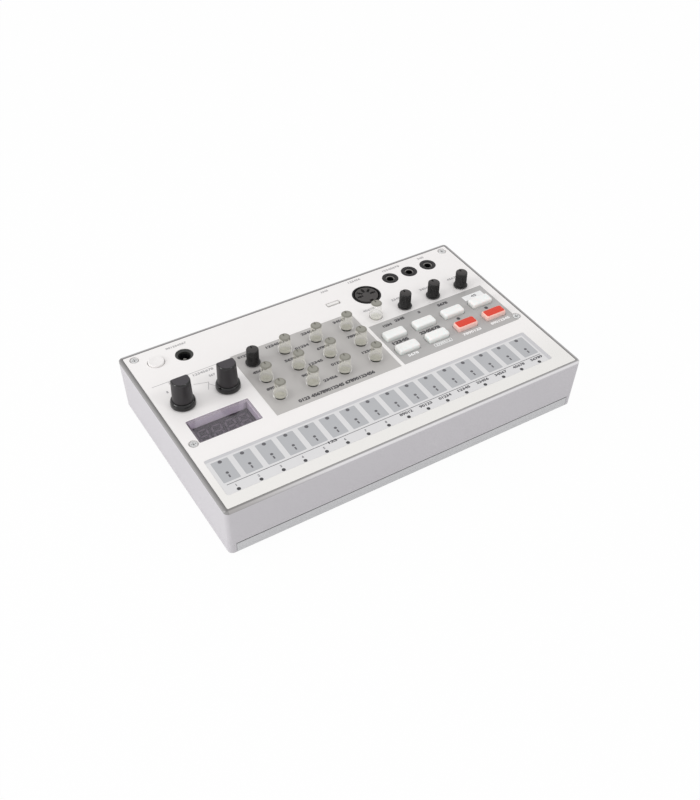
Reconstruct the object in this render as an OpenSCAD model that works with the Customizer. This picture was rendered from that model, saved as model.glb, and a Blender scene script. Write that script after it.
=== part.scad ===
// Compact battery-powered sampler: a low grey case with a white front panel,
// two large knobs, four small knobs, twelve clear knobs, eight rubber keys and
// a strip of sixteen touch pads. Millimetres, +X right, +Y to the back, +Z up,
// with the origin under the middle of the case on the plane its feet stand on.

/* [Case] */
// Width of the case at its top edge
body_w = 193; // [189:0.5:220]
// Depth of the case at its top edge
body_d = 115; // [112:0.5:135]
// Height from the case's bottom edge to the panel's face
body_h = 29.3; // [28:0.1:36]
// How far each wall leans in towards the bottom
draft = 1; // [0.4:0.1:1.6]
// Radius of the case's upright corners
corner_r = 2.4; // [2.2:0.1:4]
// Rounding of the case's bottom edges
edge_round = 1.2; // [0.6:0.1:1.8]
// Gap at the joints between fitted case pieces
joint_gap = 0.2; // [0.12:0.02:0.3]
// Height of the bottom cover's upturned front lip
lip_h = 6.9; // [4.5:0.1:8]
// Distance from the case's side to the end of the lip
lip_end = 4.5; // [3.6:0.1:8]
// Thickness of the bottom cover
cover_t = 2; // [1.8:0.1:2.6]
// Radius of the screw columns inside the case
column_r = 2.3; // [2:0.1:2.5]
// Thickness of the webs that tie the columns to the walls
web_t = 2; // [1.4:0.1:3]

/* [Feet] */
// Diameter of a rubber foot
foot_d = 10; // [7:0.5:13]
// Height of a foot under the case
foot_h = 1.5; // [1:0.1:3]
// Depth of a foot's pocket in the bottom cover
foot_pocket = 0.5; // [0.3:0.1:0.8]
// Distance from the case's side to a foot's middle
foot_in_x = 16.5; // [15:0.5:20]
// Distance from the case's front or back to a foot's middle
foot_in_y = 11.5; // [10.5:0.5:14]

/* [Front panel] */
// Thickness of the front panel and of the rim around it
panel_t = 1.6; // [1.4:0.1:2.2]
// Width of the rim's upper face
rim_w = 1.8; // [1.2:0.1:2.4]
// Chamfer on the rim's outer edge
rim_chamfer = 0.5; // [0.2:0.1:0.8]
// Gap between the panel and the rim
panel_gap = 0.15; // [0.1:0.05:0.3]
// How far the panel rests on the top of the case wall
panel_seat = 0.65; // [0.5:0.05:1.2]
// Thickness of the grey inlays behind the knobs and the keys
inlay_t = 0.3; // [0.2:0.05:0.5]
// Side gap around each inlay
inlay_gap = 0.05; // [0.03:0.01:0.1]
// Gap between the knob inlay and the key inlay
field_gap = 2; // [1.5:0.02:4]
// How far the inlays sit to the right of their columns
field_shift = 0.15; // [0:0.05:0.6]
// How far the knob inlay reaches behind the back row
knob_field_back = 9.6; // [6:0.1:10.5]
// How far the knob inlay reaches in front of the front row
knob_field_front = 10.8; // [6:0.1:11.5]
// How far the key inlay reaches behind the back row of keys
key_field_back = 12.1; // [6:0.1:12.5]
// How far the key inlay reaches in front of the front row of keys
key_field_front = 9.4; // [5:0.1:10.5]
// How far the key inlay reaches to the right of the last column
key_field_right = 9.15; // [7:0.05:9.5]

/* [Screws] */
// Radius of a screw head
screw_head_r = 2.2; // [1.9:0.05:2.3]
// Height of a screw head
screw_head_h = 0.8; // [0.6:0.05:0.9]
// Radius of a screw shank
screw_r = 1.2; // [0.9:0.05:1.3]
// Length of a screw shank
screw_l = 7; // [5:0.5:9]
// Radial play of a shank in its hole
screw_play = 0.05; // [0.03:0.01:0.1]
// Radial play of a head in its counterbore
head_play = 0.2; // [0.1:0.05:0.3]
// Left screws: distance from the panel's left edge
screw_in_left = 4.6; // [4.2:0.05:4.8]
// Right screws: distance from the panel's right edge
screw_in_right = 3.7; // [3.2:0.1:4.6]
// Back screws: distance from the panel's back edge
screw_in_back = 3.2; // [3:0.1:4.6]
// Side screws: distance from the panel's back edge
screw_mid = 69; // [66:0.1:70]
// Front columns: distance from the panel's front edge
column_in_front = 4.6; // [4.4:0.1:5.5]

/* [Knob grid] */
// Distance from the panel's left edge to the first column
grid_in_left = 52.86; // [52:0.01:55]
// Distance between knob rows
knob_pitch_y = 13.6; // [12:0.05:15]
// Distance from the panel's right edge to the last column
knob_in_right = 13.45; // [11:0.05:14]
// Distance from the panel's back edge to the back row
knob_in_back = 33.9; // [32.5:0.05:36]
// Gap between the panel and the underside of a knob
knob_lift = 0.4; // [0.3:0.05:0.8]
// Radius of a small shaft
shaft_r = 2; // [1.5:0.05:2.3]
// Radial play of a shaft in its bearing
shaft_play = 0.05; // [0.03:0.01:0.08]
// Radial clearance of a shaft in the panel
hole_play = 0.4; // [0.3:0.05:0.6]

/* [Clear knobs] */
// Radius at the foot of a clear knob
clear_foot_r = 3.45; // [3:0.05:4.5]
// Radius at the top of a clear knob
clear_top_r = 2.75; // [2.5:0.05:3]
// Height of a clear knob over the panel
clear_h = 9.2; // [7:0.1:12]
// Height of the flared foot of a clear knob
clear_foot_h = 2.5; // [1:0.1:3.5]
// Width of the pointer groove on a small knob's top
groove_w = 0.7; // [0.4:0.05:1]
// Depth of the pointer groove
groove_t = 0.4; // [0.2:0.05:0.8]

/* [Small knobs] */
// Radius of a small knob's foot flange
small_foot_r = 3.7; // [3.4:0.05:5]
// Radius of a small knob's body
small_r = 2.95; // [2.7:0.05:3.3]
// Height of a small knob over the panel
small_h = 8.9; // [7:0.1:12]
// Height of a small knob's flange
small_foot_h = 1.3; // [0.8:0.1:2]
// Number of grip flutes round a small knob
flutes = 24; // [16:2:28]
// Radius of a grip flute
flute_r = 0.22; // [0.15:0.01:0.26]

/* [Large knobs] */
// Distance from the panel's left edge to the first large knob
large_in_left = 11.8; // [11.6:0.05:14]
// Distance between the large knobs
large_pitch = 23.1; // [20:0.1:24]
// Distance from the panel's back edge to the large knobs
large_in_back = 43.1; // [41:0.05:44]
// Radius of a large knob's skirt
large_r = 6; // [5.5:0.1:7]
// Radius of the grip where it leaves the skirt
large_grip_r = 4.9; // [4.6:0.05:5.3]
// Radius of the grip's round front at its top
large_top_r = 4.4; // [3.5:0.05:4.6]
// Distance from the middle to the flat at the back of the grip's top
large_flat = 2.5; // [2.4:0.05:3.7]
// Height of a large knob over the panel
large_h = 14.9; // [12:0.1:17]
// Height of the skirt's upright edge
large_skirt_h = 1.2; // [0.8:0.1:2]
// Height over the panel at which the skirt becomes the grip
large_waist_h = 3.5; // [3:0.1:6]
// Radius of a large knob's shaft
large_shaft_r = 3; // [2:0.05:3.2]
// Wall over the end of the shaft in a large knob
large_cap_t = 6; // [5:0.1:8]

/* [Keys] */
// Gap between neighbouring keys
key_space = 5.64; // [4:0.02:7]
// Depth of a rubber key
key_d = 5.7; // [4.5:0.1:8]
// Height of a key over the panel
key_h = 2.8; // [2:0.1:4]
// Rounding of a key's edges
key_round = 0.9; // [0.4:0.05:1.2]
// Gap around a key in the panel
key_play = 0.3; // [0.25:0.05:0.5]
// How far a key goes down
key_travel = 0.8; // [0.5:0.05:1]
// Distance from the panel's back edge to the back row of keys
key_in_back = 50.95; // [50:0.05:53]
// Distance between the key rows
key_pitch_y = 11.5; // [10.5:0.05:13]
// Width of the flange that keeps a key behind the panel
key_flange = 0.8; // [0.5:0.05:1]
// Thickness of that flange
key_flange_t = 0.8; // [0.5:0.05:1]
// Radius of a key's plunger
plunger_r = 1.6; // [1.2:0.05:2]
// Gap between the flange and the panel's underside
flange_gap = 0.3; // [0.25:0.05:0.4]
// Gap left over the switch when a key is fully down
stop_gap = 0.15; // [0.1:0.05:0.3]
// Radius of a dome switch
dome_r = 2.4; // [2:0.1:3]
// Height of a dome switch
dome_h = 1.2; // [0.8:0.05:1.4]

/* [Touch strip] */
// Distance from the panel's left edge to the strip
strip_in_left = 3.5; // [3:0.05:5]
// Distance from the panel's right edge to the strip
strip_in_right = 9.15; // [6:0.05:10]
// Distance from the panel's front edge to the strip
strip_in_front = 6.85; // [6:0.05:9]
// Distance from the panel's back edge to the strip
strip_in_back = 81.15; // [79:0.05:84]
// Thickness of the strip's sheet
strip_t = 0.5; // [0.4:0.05:0.7]
// Number of pads
pad_n = 16; // [8:1:16]
// Width of a pad
pad_w = 8.3; // [6:0.1:9]
// Thickness of a pad's inlay
pad_t = 0.2; // [0.1:0.05:0.3]
// Margin from the strip's left end to the first pad's middle
pad_in_left = 6; // [5.5:0.05:8]
// Margin from the strip's right end to the last pad's middle
pad_in_right = 7.1; // [5.5:0.05:8]
// Distance from the strip's back edge to the pads
pad_in_back = 2.7; // [2:0.1:4]
// Distance from the strip's front edge to the pads
pad_in_front = 6.9; // [4:0.1:8]

/* [Display] */
// Distance from the left screws to the window
window_from_screw = 2.65; // [2.5:0.05:4]
// Distance from the panel's back edge to the window
window_in_back = 54.65; // [54:0.05:57]
// Width of the window
window_w = 31.7; // [28:0.1:34]
// Depth of the window from front to back
window_d = 15.3; // [12:0.1:16]
// Thickness of the window
window_t = 1; // [0.8:0.05:1.1]
// Ledge that the window rests on
window_ledge = 0.9; // [0.6:0.05:1.2]
// Thickness of the well's walls under the window
well_t = 0.8; // [0.6:0.05:0.9]
// Depth of the display's face under the panel's face
display_depth = 5.3; // [3:0.1:5.8]
// How far the well reaches down past the display's face
well_lap = 0.6; // [0.3:0.1:1]
// Gap between the display and the well
display_gap = 0.2; // [0.1:0.05:0.3]

/* [Sockets] */
// Distance from the panel's right edge to the right jack
jack_in_right = 17.7; // [15:0.05:18]
// Distance between the jacks
jack_pitch = 12; // [11:0.1:12.5]
// Distance from the panel's back edge to the jacks
jack_in_back = 9.75; // [8.5:0.05:10]
// Radius of a jack's bush in the panel
jack_bush_r = 4.2; // [3.5:0.05:4.6]
// Radius of a jack's bore, for a 3.5 mm plug
jack_bore_r = 1.8; // [1.78:0.01:1.9]
// Width of a jack's body
jack_body = 9.6; // [9.4:0.1:10]
// Distance from the panel's right edge to the round five-pin socket
din_in_right = 60.25; // [58:0.05:61]
// Distance from the panel's back edge to the five-pin socket
din_in_back = 15.7; // [14:0.05:16]
// Radius of the five-pin socket in the panel
din_r = 7.45; // [7.2:0.05:8]
// Radius of the five-pin socket's body
din_body_r = 8.2; // [8.1:0.05:8.6]
// Radius of the circle that the five pin holes lie on
din_pin_circle = 3.75; // [3.5:0.05:4]
// Distance from the panel's right edge to the small flat data socket
usb_in_right = 78.95; // [76:0.05:80]
// Distance from the panel's back edge to the data socket
usb_in_back = 13.3; // [11:0.05:14]
// Distance from the panel's left edge to the power inlet
inlet_in_left = 27.1; // [25:0.05:29]
// Distance from the panel's back edge to the power inlet
inlet_in_back = 11.5; // [10:0.05:12]
// Radius of the inlet's hole in the panel
inlet_hole_r = 4.5; // [3.5:0.05:5]
// Radius of the inlet's bore
inlet_bore_r = 2.9; // [2.5:0.05:3.2]
// Radius of the inlet's pin
inlet_pin_r = 0.85; // [0.6:0.05:1.2]
// Gap between the inlet and the panel's underside
inlet_gap = 0.4; // [0.3:0.05:0.8]
// Clearance of a socket in the panel
socket_play = 0.2; // [0.15:0.05:0.3]
// Distance from the panel's left edge to the power button
power_in_left = 13.1; // [12.5:0.05:15]
// Distance from the panel's back edge to the power button
power_in_back = 9.85; // [8.5:0.05:10]
// Radius of the power button
power_r = 4; // [3:0.05:4.5]
// Height of the power button over the panel
power_h = 0.9; // [0.8:0.05:2]

/* [Boards] */
// Thickness of both circuit boards
board_t = 1.6; // [1:0.1:2]
// Height of the small potentiometers on the main board
pot_h = 4.7; // [4.2:0.1:6]
// Width of a small potentiometer
pot_w = 9; // [8:0.1:10]
// Width of a large potentiometer
large_pot_w = 11; // [9:0.1:11.5]
// Gap between the potentiometers and the panel
pot_gap = 0.4; // [0.3:0.05:0.8]
// Height of the sockets between the jack board and the panel
socket_h = 15; // [13:0.1:17]
// Distance from the panel's edges to the boards
board_in = 5.5; // [5:0.1:6.5]
// Clearance of the boards around the columns
board_gap = 0.6; // [0.4:0.05:1]
// Distance between the two boards
board_split = 1.5; // [1:0.1:2]
// Radius of the standoffs that carry the boards
standoff_r = 2; // [1.7:0.05:2.2]
// Radius of a board screw
board_screw_r = 0.9; // [0.7:0.05:1]
// Length of a board screw's shank over the board
board_screw_l = 4; // [3:0.1:5]

/* [Battery bay and speaker] */
// Number of cells side by side
cells = 6; // [4:1:6]
// Diameter of a cell
cell_d = 14.5; // [14:0.1:15]
// Length of a cell
cell_l = 50.5; // [49:0.1:51]
// Play between cells and over them
cell_play = 0.3; // [0.2:0.05:0.5]
// Room for the contacts at each end of the cells
contact_room = 3.75; // [3:0.05:5]
// Thickness of the battery box's walls
box_t = 1; // [0.8:0.1:1.2]
// Middle of the bay to the right of the case's middle
bay_x = 12; // [10:0.5:16]
// Middle of the bay in front of the case's middle
bay_y = 17; // [15:0.5:19]
// Thickness of the battery door
door_t = 1.3; // [1:0.05:1.4]
// Width of the ledge that the door closes on
door_ledge = 2; // [1.5:0.1:2.5]
// Gap around the door
door_gap = 0.3; // [0.25:0.05:0.5]
// Gap between the door and its ledge
door_seat = 0.1; // [0.05:0.01:0.2]
// Radius of the speaker
speaker_r = 18; // [14:0.5:19]
// Height of the speaker
speaker_h = 12; // [9:0.5:14]
// Width of a grille slot
slot_w = 2; // [1.2:0.1:2.4]
// Distance between grille slots
slot_pitch = 4; // [3.4:0.1:5]

/* [Hidden] */
$fn = 48;

// Levels: the case's bottom edge, the cover's inside, the panel and the boards
base_z = foot_h;
floor_z = base_z + cover_t;
top_z = base_z + body_h;
seat_z = top_z - panel_t;
board_z = seat_z - pot_gap - pot_h;
jack_board_z = seat_z - socket_h;

// Outline of the case wall and of the panel inside the rim
wall = rim_w + panel_gap + panel_seat;
panel_w = body_w - 2*(rim_w + panel_gap);
panel_d = body_d - 2*(rim_w + panel_gap);
left = -panel_w/2;
right = panel_w/2;
back = panel_d/2;
front = -panel_d/2;
panel_r = max(corner_r - rim_w, 0.4);

// Columns and rows of the knobs and the keys, the columns even between the two ends
knob_cols = 8;
knob_pitch_x = (panel_w - grid_in_left - knob_in_right)/(knob_cols - 1);
key_w = knob_pitch_x - key_space;
function col_x(i) = left + grid_in_left + i*knob_pitch_x;
function row_y(j) = back - knob_in_back - j*knob_pitch_y;
function key_x(i) = col_x(4 + (i - 1) % 4);
function key_y(i) = back - key_in_back - floor((i - 1)/4)*key_pitch_y;
clear_at = concat([for (i = [1:4]) [col_x(i), row_y(0)]],
                  [for (j = [1:2], i = [0:3]) [col_x(i), row_y(j)]]);
small_at = concat([[col_x(0), row_y(0)]], [for (i = [5:7]) [col_x(i), row_y(0)]]);
pots_at = concat(small_at, clear_at);
large_at = [for (i = [0:1]) [left + large_in_left + i*large_pitch, back - large_in_back]];

// Inlays behind the knobs and the keys, as left, right, front and back edges
field_side = (knob_pitch_x - field_gap)/2;
knob_field_box = [col_x(0) - field_side + field_shift, col_x(3) + field_side + field_shift,
                  row_y(2) - knob_field_front, row_y(0) + knob_field_back];
key_field_box = [col_x(4) - field_side + field_shift, col_x(7) + key_field_right,
                 key_y(5) - key_field_front, key_y(1) + key_field_back];

// Display window, its opening and the touch strip
window_at = [left + screw_in_left + window_from_screw + window_w/2, back - window_in_back - window_d/2];
well_w = window_w - 2*window_ledge;
well_d = window_d - 2*window_ledge;
display_z = top_z - display_depth;
strip_w = panel_w - strip_in_left - strip_in_right;
strip_d = panel_d - strip_in_back - strip_in_front;
strip_at = [left + strip_in_left + strip_w/2, front + strip_in_front + strip_d/2];
pad_pitch = (strip_w - pad_in_left - pad_in_right)/(pad_n - 1);
pad_d = strip_d - pad_in_back - pad_in_front;
function pad_x(i) = left + strip_in_left + pad_in_left + i*pad_pitch;
pad_y = strip_at[1] + strip_d/2 - pad_in_back - pad_d/2;

// Sockets along the back edge
jack_at = [for (i = [0:2]) [right - jack_in_right - (2 - i)*jack_pitch, back - jack_in_back]];
din_at = [right - din_in_right, back - din_in_back];
usb_at = [right - usb_in_right, back - usb_in_back];
inlet_at = [left + inlet_in_left, back - inlet_in_back];
power_at = [left + power_in_left, back - power_in_back];
usb_w = 7.6;
usb_d = 2.8;
usb_wall = 0.35;
usb_drop = 2;
usb_depth = 5;

// Screw columns: the first four also take a panel screw from above
panel_screw_at = [[left + screw_in_left, back - screw_in_back], [right - screw_in_right, back - screw_in_back],
                  [left + screw_in_left, back - screw_mid], [right - screw_in_right, back - screw_mid]];
column_at = concat(panel_screw_at, [[left + screw_in_left, front + column_in_front],
                                    [right - screw_in_right, front + column_in_front]]);
head_sink = screw_head_h + 0.2;
feet_at = [for (sx = [-1, 1], sy = [-1, 1]) [sx*(body_w/2 - foot_in_x), sy*(body_d/2 - foot_in_y)]];

// Battery bay: the cells lie side by side from front to back, with the speaker to the left of it
bay_w = cells*(cell_d + cell_play) + cell_play;
bay_d = cell_l + 2*contact_room;
bay_h = cell_d + cell_play;
bay_at = [bay_x, -bay_y];
door_w = bay_w + 2*door_ledge - 2*door_gap;
door_d = bay_d + 2*door_ledge - 2*door_gap;
speaker_at = [(bay_x - bay_w/2 - box_t - body_w/2 + draft + wall)/2, -bay_y];
contact_t = 0.4;
contact_w = 9;

// Boards and the standoffs that carry them, clear of the battery box
board_back = row_y(0) + pot_w/2 + 2.2;
board_front = front + 5;
jack_board_front = board_back + board_split;
jack_board_back = back - 3;
key_back = key_y(1) + key_d/2 + key_flange;
main_standoffs = [[(col_x(0) + col_x(1))/2, (row_y(0) + row_y(1))/2],
                  [(col_x(2) + col_x(3))/2, (row_y(0) + row_y(1))/2],
                  [(col_x(6) + col_x(7))/2, (row_y(0) - pot_w/2 + key_back)/2],
                  [left + 20, strip_at[1]], [bay_x - bay_w/2 - box_t - 6, strip_at[1]], [right - 20, strip_at[1]]];
jack_standoffs = [[(inlet_at[0]*2 + usb_at[0])/3, usb_at[1]], [(inlet_at[0] + usb_at[0]*3)/4, usb_at[1]],
                  [(din_at[0] + din_body_r + jack_at[0][0] - jack_body/2)/2, jack_at[0][1]],
                  [jack_at[2][0] + jack_body/2 + standoff_r + 1.5, din_at[1]]];
board_head_r = 1.8;
board_head_h = 1;

// A plate with rounded corners, its middle at the origin and its underside at zero
module plate(w, d, h, r) {
    linear_extrude(h) {
        square([w - 2*r, d], center = true);
        square([w, d - 2*r], center = true);
        for (sx = [-1, 1], sy = [-1, 1])
            translate([sx*(w/2 - r), sy*(d/2 - r)]) circle(r);
    }
}

// A box between two x values and two y values
module span(b, z, h) {
    translate([b[0], b[2], z]) cube([b[1] - b[0], b[3] - b[2], h]);
}

// The leaning outside of the case, drawn in by a wall and raised off the bottom
module case_shape(inset, round, low, high) {
    r = max(corner_r - inset, 0.4);
    hull() for (sx = [-1, 1], sy = [-1, 1]) {
        translate([sx*(body_w/2 - inset - draft - r), sy*(body_d/2 - inset - draft - r), low])
            cylinder(r = r - min(round, r - 0.2), h = 0.01, $fn = 32);
        translate([sx*(body_w/2 - inset - draft - r), sy*(body_d/2 - inset - draft - r), low + max(round, 0.02)])
            cylinder(r = r, h = 0.01, $fn = 32);
        translate([sx*(body_w/2 - inset - r), sy*(body_d/2 - inset - r), high - 0.01])
            cylinder(r = r, h = 0.01, $fn = 32);
    }
}

// Grey four-walled case with a column at each screw and a notch for the lip
module casing() {
    color("silver") difference() {
        union() {
            difference() {
                case_shape(0, edge_round, base_z, seat_z);
                case_shape(wall, 0, base_z - 1, seat_z + 1);
            }
            for (p = column_at) {
                side = p[0] < 0 ? -1 : 1;
                translate([p[0], p[1], floor_z]) cylinder(r = column_r, h = seat_z - floor_z);
                span([min(p[0], side*(body_w/2 - draft - 0.5)), max(p[0], side*(body_w/2 - draft - 0.5)),
                      p[1] - web_t/2, p[1] + web_t/2], floor_z, seat_z - floor_z);
            }
        }
        span([-body_w/2 + lip_end - joint_gap, body_w/2 - lip_end + joint_gap, -body_d/2 - 1,
              -body_d/2 + draft + wall + 0.1], base_z - 1, lip_h + joint_gap + 1);
        for (p = panel_screw_at)
            translate([p[0], p[1], seat_z - screw_l - 1]) cylinder(r = screw_r + screw_play, h = screw_l + 2);
        for (p = column_at) {
            translate([p[0], p[1], floor_z - 1]) cylinder(r = screw_r + screw_play, h = screw_l + 2);
            translate([p[0], p[1], base_z - 1]) cylinder(r = screw_head_r + head_play, h = head_sink + 1);
        }
    }
}

// Bottom cover: a plate inside the walls with a front lip, a battery opening and a grille
module bottom_cover() {
    color("silver") difference() {
        union() {
            translate([0, 0, base_z]) plate(body_w - 2*(draft + wall + joint_gap), body_d - 2*(draft + wall + joint_gap), cover_t, 1);
            intersection() {
                case_shape(0, edge_round, base_z, seat_z);
                span([-body_w/2 + lip_end, body_w/2 - lip_end, -body_d/2 - 1, -body_d/2 + draft + wall + joint_gap],
                     base_z, lip_h);
            }
            span([-body_w/2 + lip_end, body_w/2 - lip_end, -body_d/2 + draft + wall - 0.5,
                  -body_d/2 + draft + wall + joint_gap + 1.5], base_z, cover_t);
        }
        translate([bay_at[0], bay_at[1], base_z]) {
            translate([0, 0, -1]) plate(bay_w, bay_d, cover_t + 2, 0.5);
            translate([0, 0, -1]) plate(bay_w + 2*door_ledge, bay_d + 2*door_ledge, door_t + door_seat + 1, 1);
        }
        intersection() {
            translate([speaker_at[0], speaker_at[1], base_z - 1]) cylinder(r = speaker_r - 2.5, h = cover_t + 2);
            for (x = [-speaker_r + slot_pitch/2 : slot_pitch : speaker_r])
                translate([speaker_at[0] + x - slot_w/2, speaker_at[1] - speaker_r, base_z - 1])
                    cube([slot_w, 2*speaker_r, cover_t + 2]);
        }
        for (p = column_at) translate([p[0], p[1], base_z - 1]) {
            cylinder(r = screw_r + screw_play, h = cover_t + 2);
            cylinder(r = screw_head_r + head_play, h = head_sink + 1);
        }
        for (p = feet_at) translate([p[0], p[1], base_z - 1]) cylinder(r = foot_d/2 + screw_play, h = foot_pocket + 1);
    }
}

// Smoke-grey rim that stands on the case wall around the panel
module bezel() {
    color("dimgray") translate([0, 0, seat_z]) difference() {
        hull() {
            plate(body_w, body_d, panel_t - rim_chamfer, corner_r, $fn = 32);
            plate(body_w - 2*rim_chamfer, body_d - 2*rim_chamfer, panel_t, corner_r - rim_chamfer, $fn = 32);
        }
        translate([0, 0, -1]) plate(panel_w + 2*panel_gap, panel_d + 2*panel_gap, panel_t + 2, panel_r + panel_gap);
    }
}

// White panel with every opening and the pockets for the inlays and the window
module front_panel() {
    color("white") difference() {
        translate([0, 0, seat_z]) plate(panel_w, panel_d, panel_t, panel_r);
        for (p = pots_at) translate([p[0], p[1], seat_z - 1]) cylinder(r = shaft_r + hole_play, h = panel_t + 2);
        for (p = large_at) translate([p[0], p[1], seat_z - 1]) cylinder(r = large_shaft_r + hole_play, h = panel_t + 2);
        for (i = [1:8]) translate([key_x(i), key_y(i), seat_z - 1])
            plate(key_w + 2*key_play, key_d + 2*key_play, panel_t + 2, key_round + key_play);
        span([knob_field_box[0] - inlay_gap, knob_field_box[1] + inlay_gap,
              knob_field_box[2] - inlay_gap, knob_field_box[3] + inlay_gap], top_z - inlay_t, 1);
        span([key_field_box[0] - inlay_gap, key_field_box[1] + inlay_gap,
              key_field_box[2] - inlay_gap, key_field_box[3] + inlay_gap], top_z - inlay_t, 1);
        translate([strip_at[0], strip_at[1], top_z - strip_t])
            plate(strip_w + 2*inlay_gap, strip_d + 2*inlay_gap, strip_t + 1, 1);
        translate([window_at[0], window_at[1], seat_z - 1]) plate(well_w, well_d, panel_t + 2, 0.3);
        translate([window_at[0], window_at[1], top_z - window_t])
            plate(window_w + 2*inlay_gap, window_d + 2*inlay_gap, window_t + 1, 0.6);
        for (p = jack_at) translate([p[0], p[1], seat_z - 1]) cylinder(r = jack_bush_r + socket_play, h = panel_t + 2);
        translate([din_at[0], din_at[1], seat_z - 1]) cylinder(r = din_r + socket_play, h = panel_t + 2);
        translate([usb_at[0], usb_at[1], seat_z - 1])
            plate(usb_w + 2*socket_play, usb_d + 2*socket_play, panel_t + 2, 0.6);
        translate([inlet_at[0], inlet_at[1], seat_z - 1]) cylinder(r = inlet_hole_r, h = panel_t + 2);
        translate([power_at[0], power_at[1], seat_z - 1]) cylinder(r = power_r + key_play, h = panel_t + 2);
        for (p = panel_screw_at) translate([p[0], p[1], seat_z - 1]) {
            cylinder(r = screw_r + screw_play, h = panel_t + 2);
            translate([0, 0, panel_t + 1 - head_sink]) cylinder(r = screw_head_r + head_play, h = head_sink + 1);
        }
    }
}

// A grey inlay, drilled for the shafts and notched round the panel screws that it reaches
module inlay(b) {
    difference() {
        span(b, top_z - inlay_t, inlay_t);
        for (p = pots_at) translate([p[0], p[1], top_z - 1]) cylinder(r = shaft_r + hole_play, h = 2);
        for (p = panel_screw_at) translate([p[0], p[1], top_z - 1]) cylinder(r = screw_head_r + head_play, h = 2);
    }
}

// Grey inlay behind the clear knobs
module knob_field() {
    color("darkgray") inlay(knob_field_box);
}

// Grey inlay behind the keys
module key_field() {
    color("darkgray") difference() {
        inlay(key_field_box);
        for (i = [1:8]) translate([key_x(i), key_y(i), top_z - 1])
            plate(key_w + 2*key_play, key_d + 2*key_play, 2, key_round + key_play);
    }
}

// Frosted sheet of the touch strip, with a pocket for each pad
module touch_sheet() {
    color("whitesmoke") difference() {
        translate([strip_at[0], strip_at[1], top_z - strip_t]) plate(strip_w, strip_d, strip_t, 1 - inlay_gap);
        for (i = [0:pad_n - 1]) translate([pad_x(i), pad_y, top_z - pad_t]) plate(pad_w, pad_d, 1, 0.5);
    }
}

// Grey touch pads, flush with the sheet
module touch_pads() {
    color("lightsteelblue") for (i = [0:pad_n - 1])
        translate([pad_x(i), pad_y, top_z - pad_t]) plate(pad_w, pad_d, pad_t, 0.5);
}

// Tinted window over the display, flush with the panel
module display_window() {
    color("mediumpurple", 0.6) translate([window_at[0], window_at[1], top_z - window_t])
        plate(window_w, window_d, window_t, 0.6 - inlay_gap);
}

// Frame under the window that shuts the display in
module display_well() {
    color("white") translate([window_at[0], window_at[1], display_z - well_lap]) difference() {
        plate(well_w + 2*well_t, well_d + 2*well_t, seat_z - display_z + well_lap, 0.5);
        translate([0, 0, -1]) plate(well_w, well_d, seat_z - display_z + well_lap + 2, 0.3);
    }
}

// Four-digit display block on the main board
module display_module() {
    color("black") translate([window_at[0], window_at[1], board_z])
        plate(well_w - 2*display_gap, well_d - 2*display_gap, display_z - board_z, 0.3);
}

// A screw with its head's underside at zero, its shank down and a cross recess
module cross_screw(r, l, head_r, head_h) {
    difference() {
        union() {
            cylinder(r = head_r, h = head_h);
            translate([0, 0, -l]) cylinder(r = r, h = l + 0.1);
        }
        for (a = [0, 90]) rotate(a) translate([-head_r*0.55, -head_r*0.13, head_h*0.4])
            cube([head_r*1.1, head_r*0.26, head_h]);
    }
}

// Screws that hold the panel on the columns
module panel_screws() {
    color("gainsboro") for (p = panel_screw_at)
        translate([p[0], p[1], top_z - head_sink]) cross_screw(screw_r, screw_l, screw_head_r, screw_head_h);
}

// Screws that hold the bottom cover on the columns
module cover_screws() {
    color("gainsboro") for (p = column_at)
        translate([p[0], p[1], base_z + head_sink]) mirror([0, 0, 1]) cross_screw(screw_r, screw_l, screw_head_r, screw_head_h);
}

// Screws that hold the boards on their standoffs
module board_screws() {
    color("gainsboro") {
        for (p = main_standoffs) translate([p[0], p[1], board_z - board_t]) mirror([0, 0, 1])
            cross_screw(board_screw_r, board_t + board_screw_l, board_head_r, board_head_h);
        for (p = jack_standoffs) translate([p[0], p[1], jack_board_z - board_t]) mirror([0, 0, 1])
            cross_screw(board_screw_r, board_t + board_screw_l, board_head_r, board_head_h);
    }
}

// A drilled standoff from a board's upper face to the panel's underside
module standoff(p, z) {
    translate([p[0], p[1], z]) difference() {
        cylinder(r = standoff_r, h = seat_z - z);
        translate([0, 0, -1]) cylinder(r = board_screw_r + screw_play, h = board_screw_l + 1.3);
    }
}

// Standoffs that carry the two boards
module board_standoffs() {
    color("white") {
        for (p = main_standoffs) standoff(p, board_z);
        for (p = jack_standoffs) standoff(p, jack_board_z);
    }
}

// Four rubber feet, each in a pocket of the bottom cover
module feet() {
    color("black") for (p = feet_at) translate([p[0], p[1], 0]) cylinder(r = foot_d/2, h = foot_h + foot_pocket);
}

// Battery door with grip grooves, flush with the bottom cover
module battery_door() {
    color("silver") translate([bay_at[0], bay_at[1], base_z]) difference() {
        plate(door_w, door_d, door_t, 1 - door_gap/2);
        for (i = [0:4]) translate([-8, -door_d/2 + 3 + 2*i, -1]) cube([16, 1, 1.4]);
    }
}

// Box over the cells, open downwards
module battery_box() {
    color("gray") translate([bay_at[0], bay_at[1], floor_z]) difference() {
        plate(bay_w + 2*box_t, bay_d + 2*box_t, bay_h + box_t, 1);
        translate([0, 0, -1]) plate(bay_w, bay_d, bay_h + 1, 0.5);
    }
}

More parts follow.
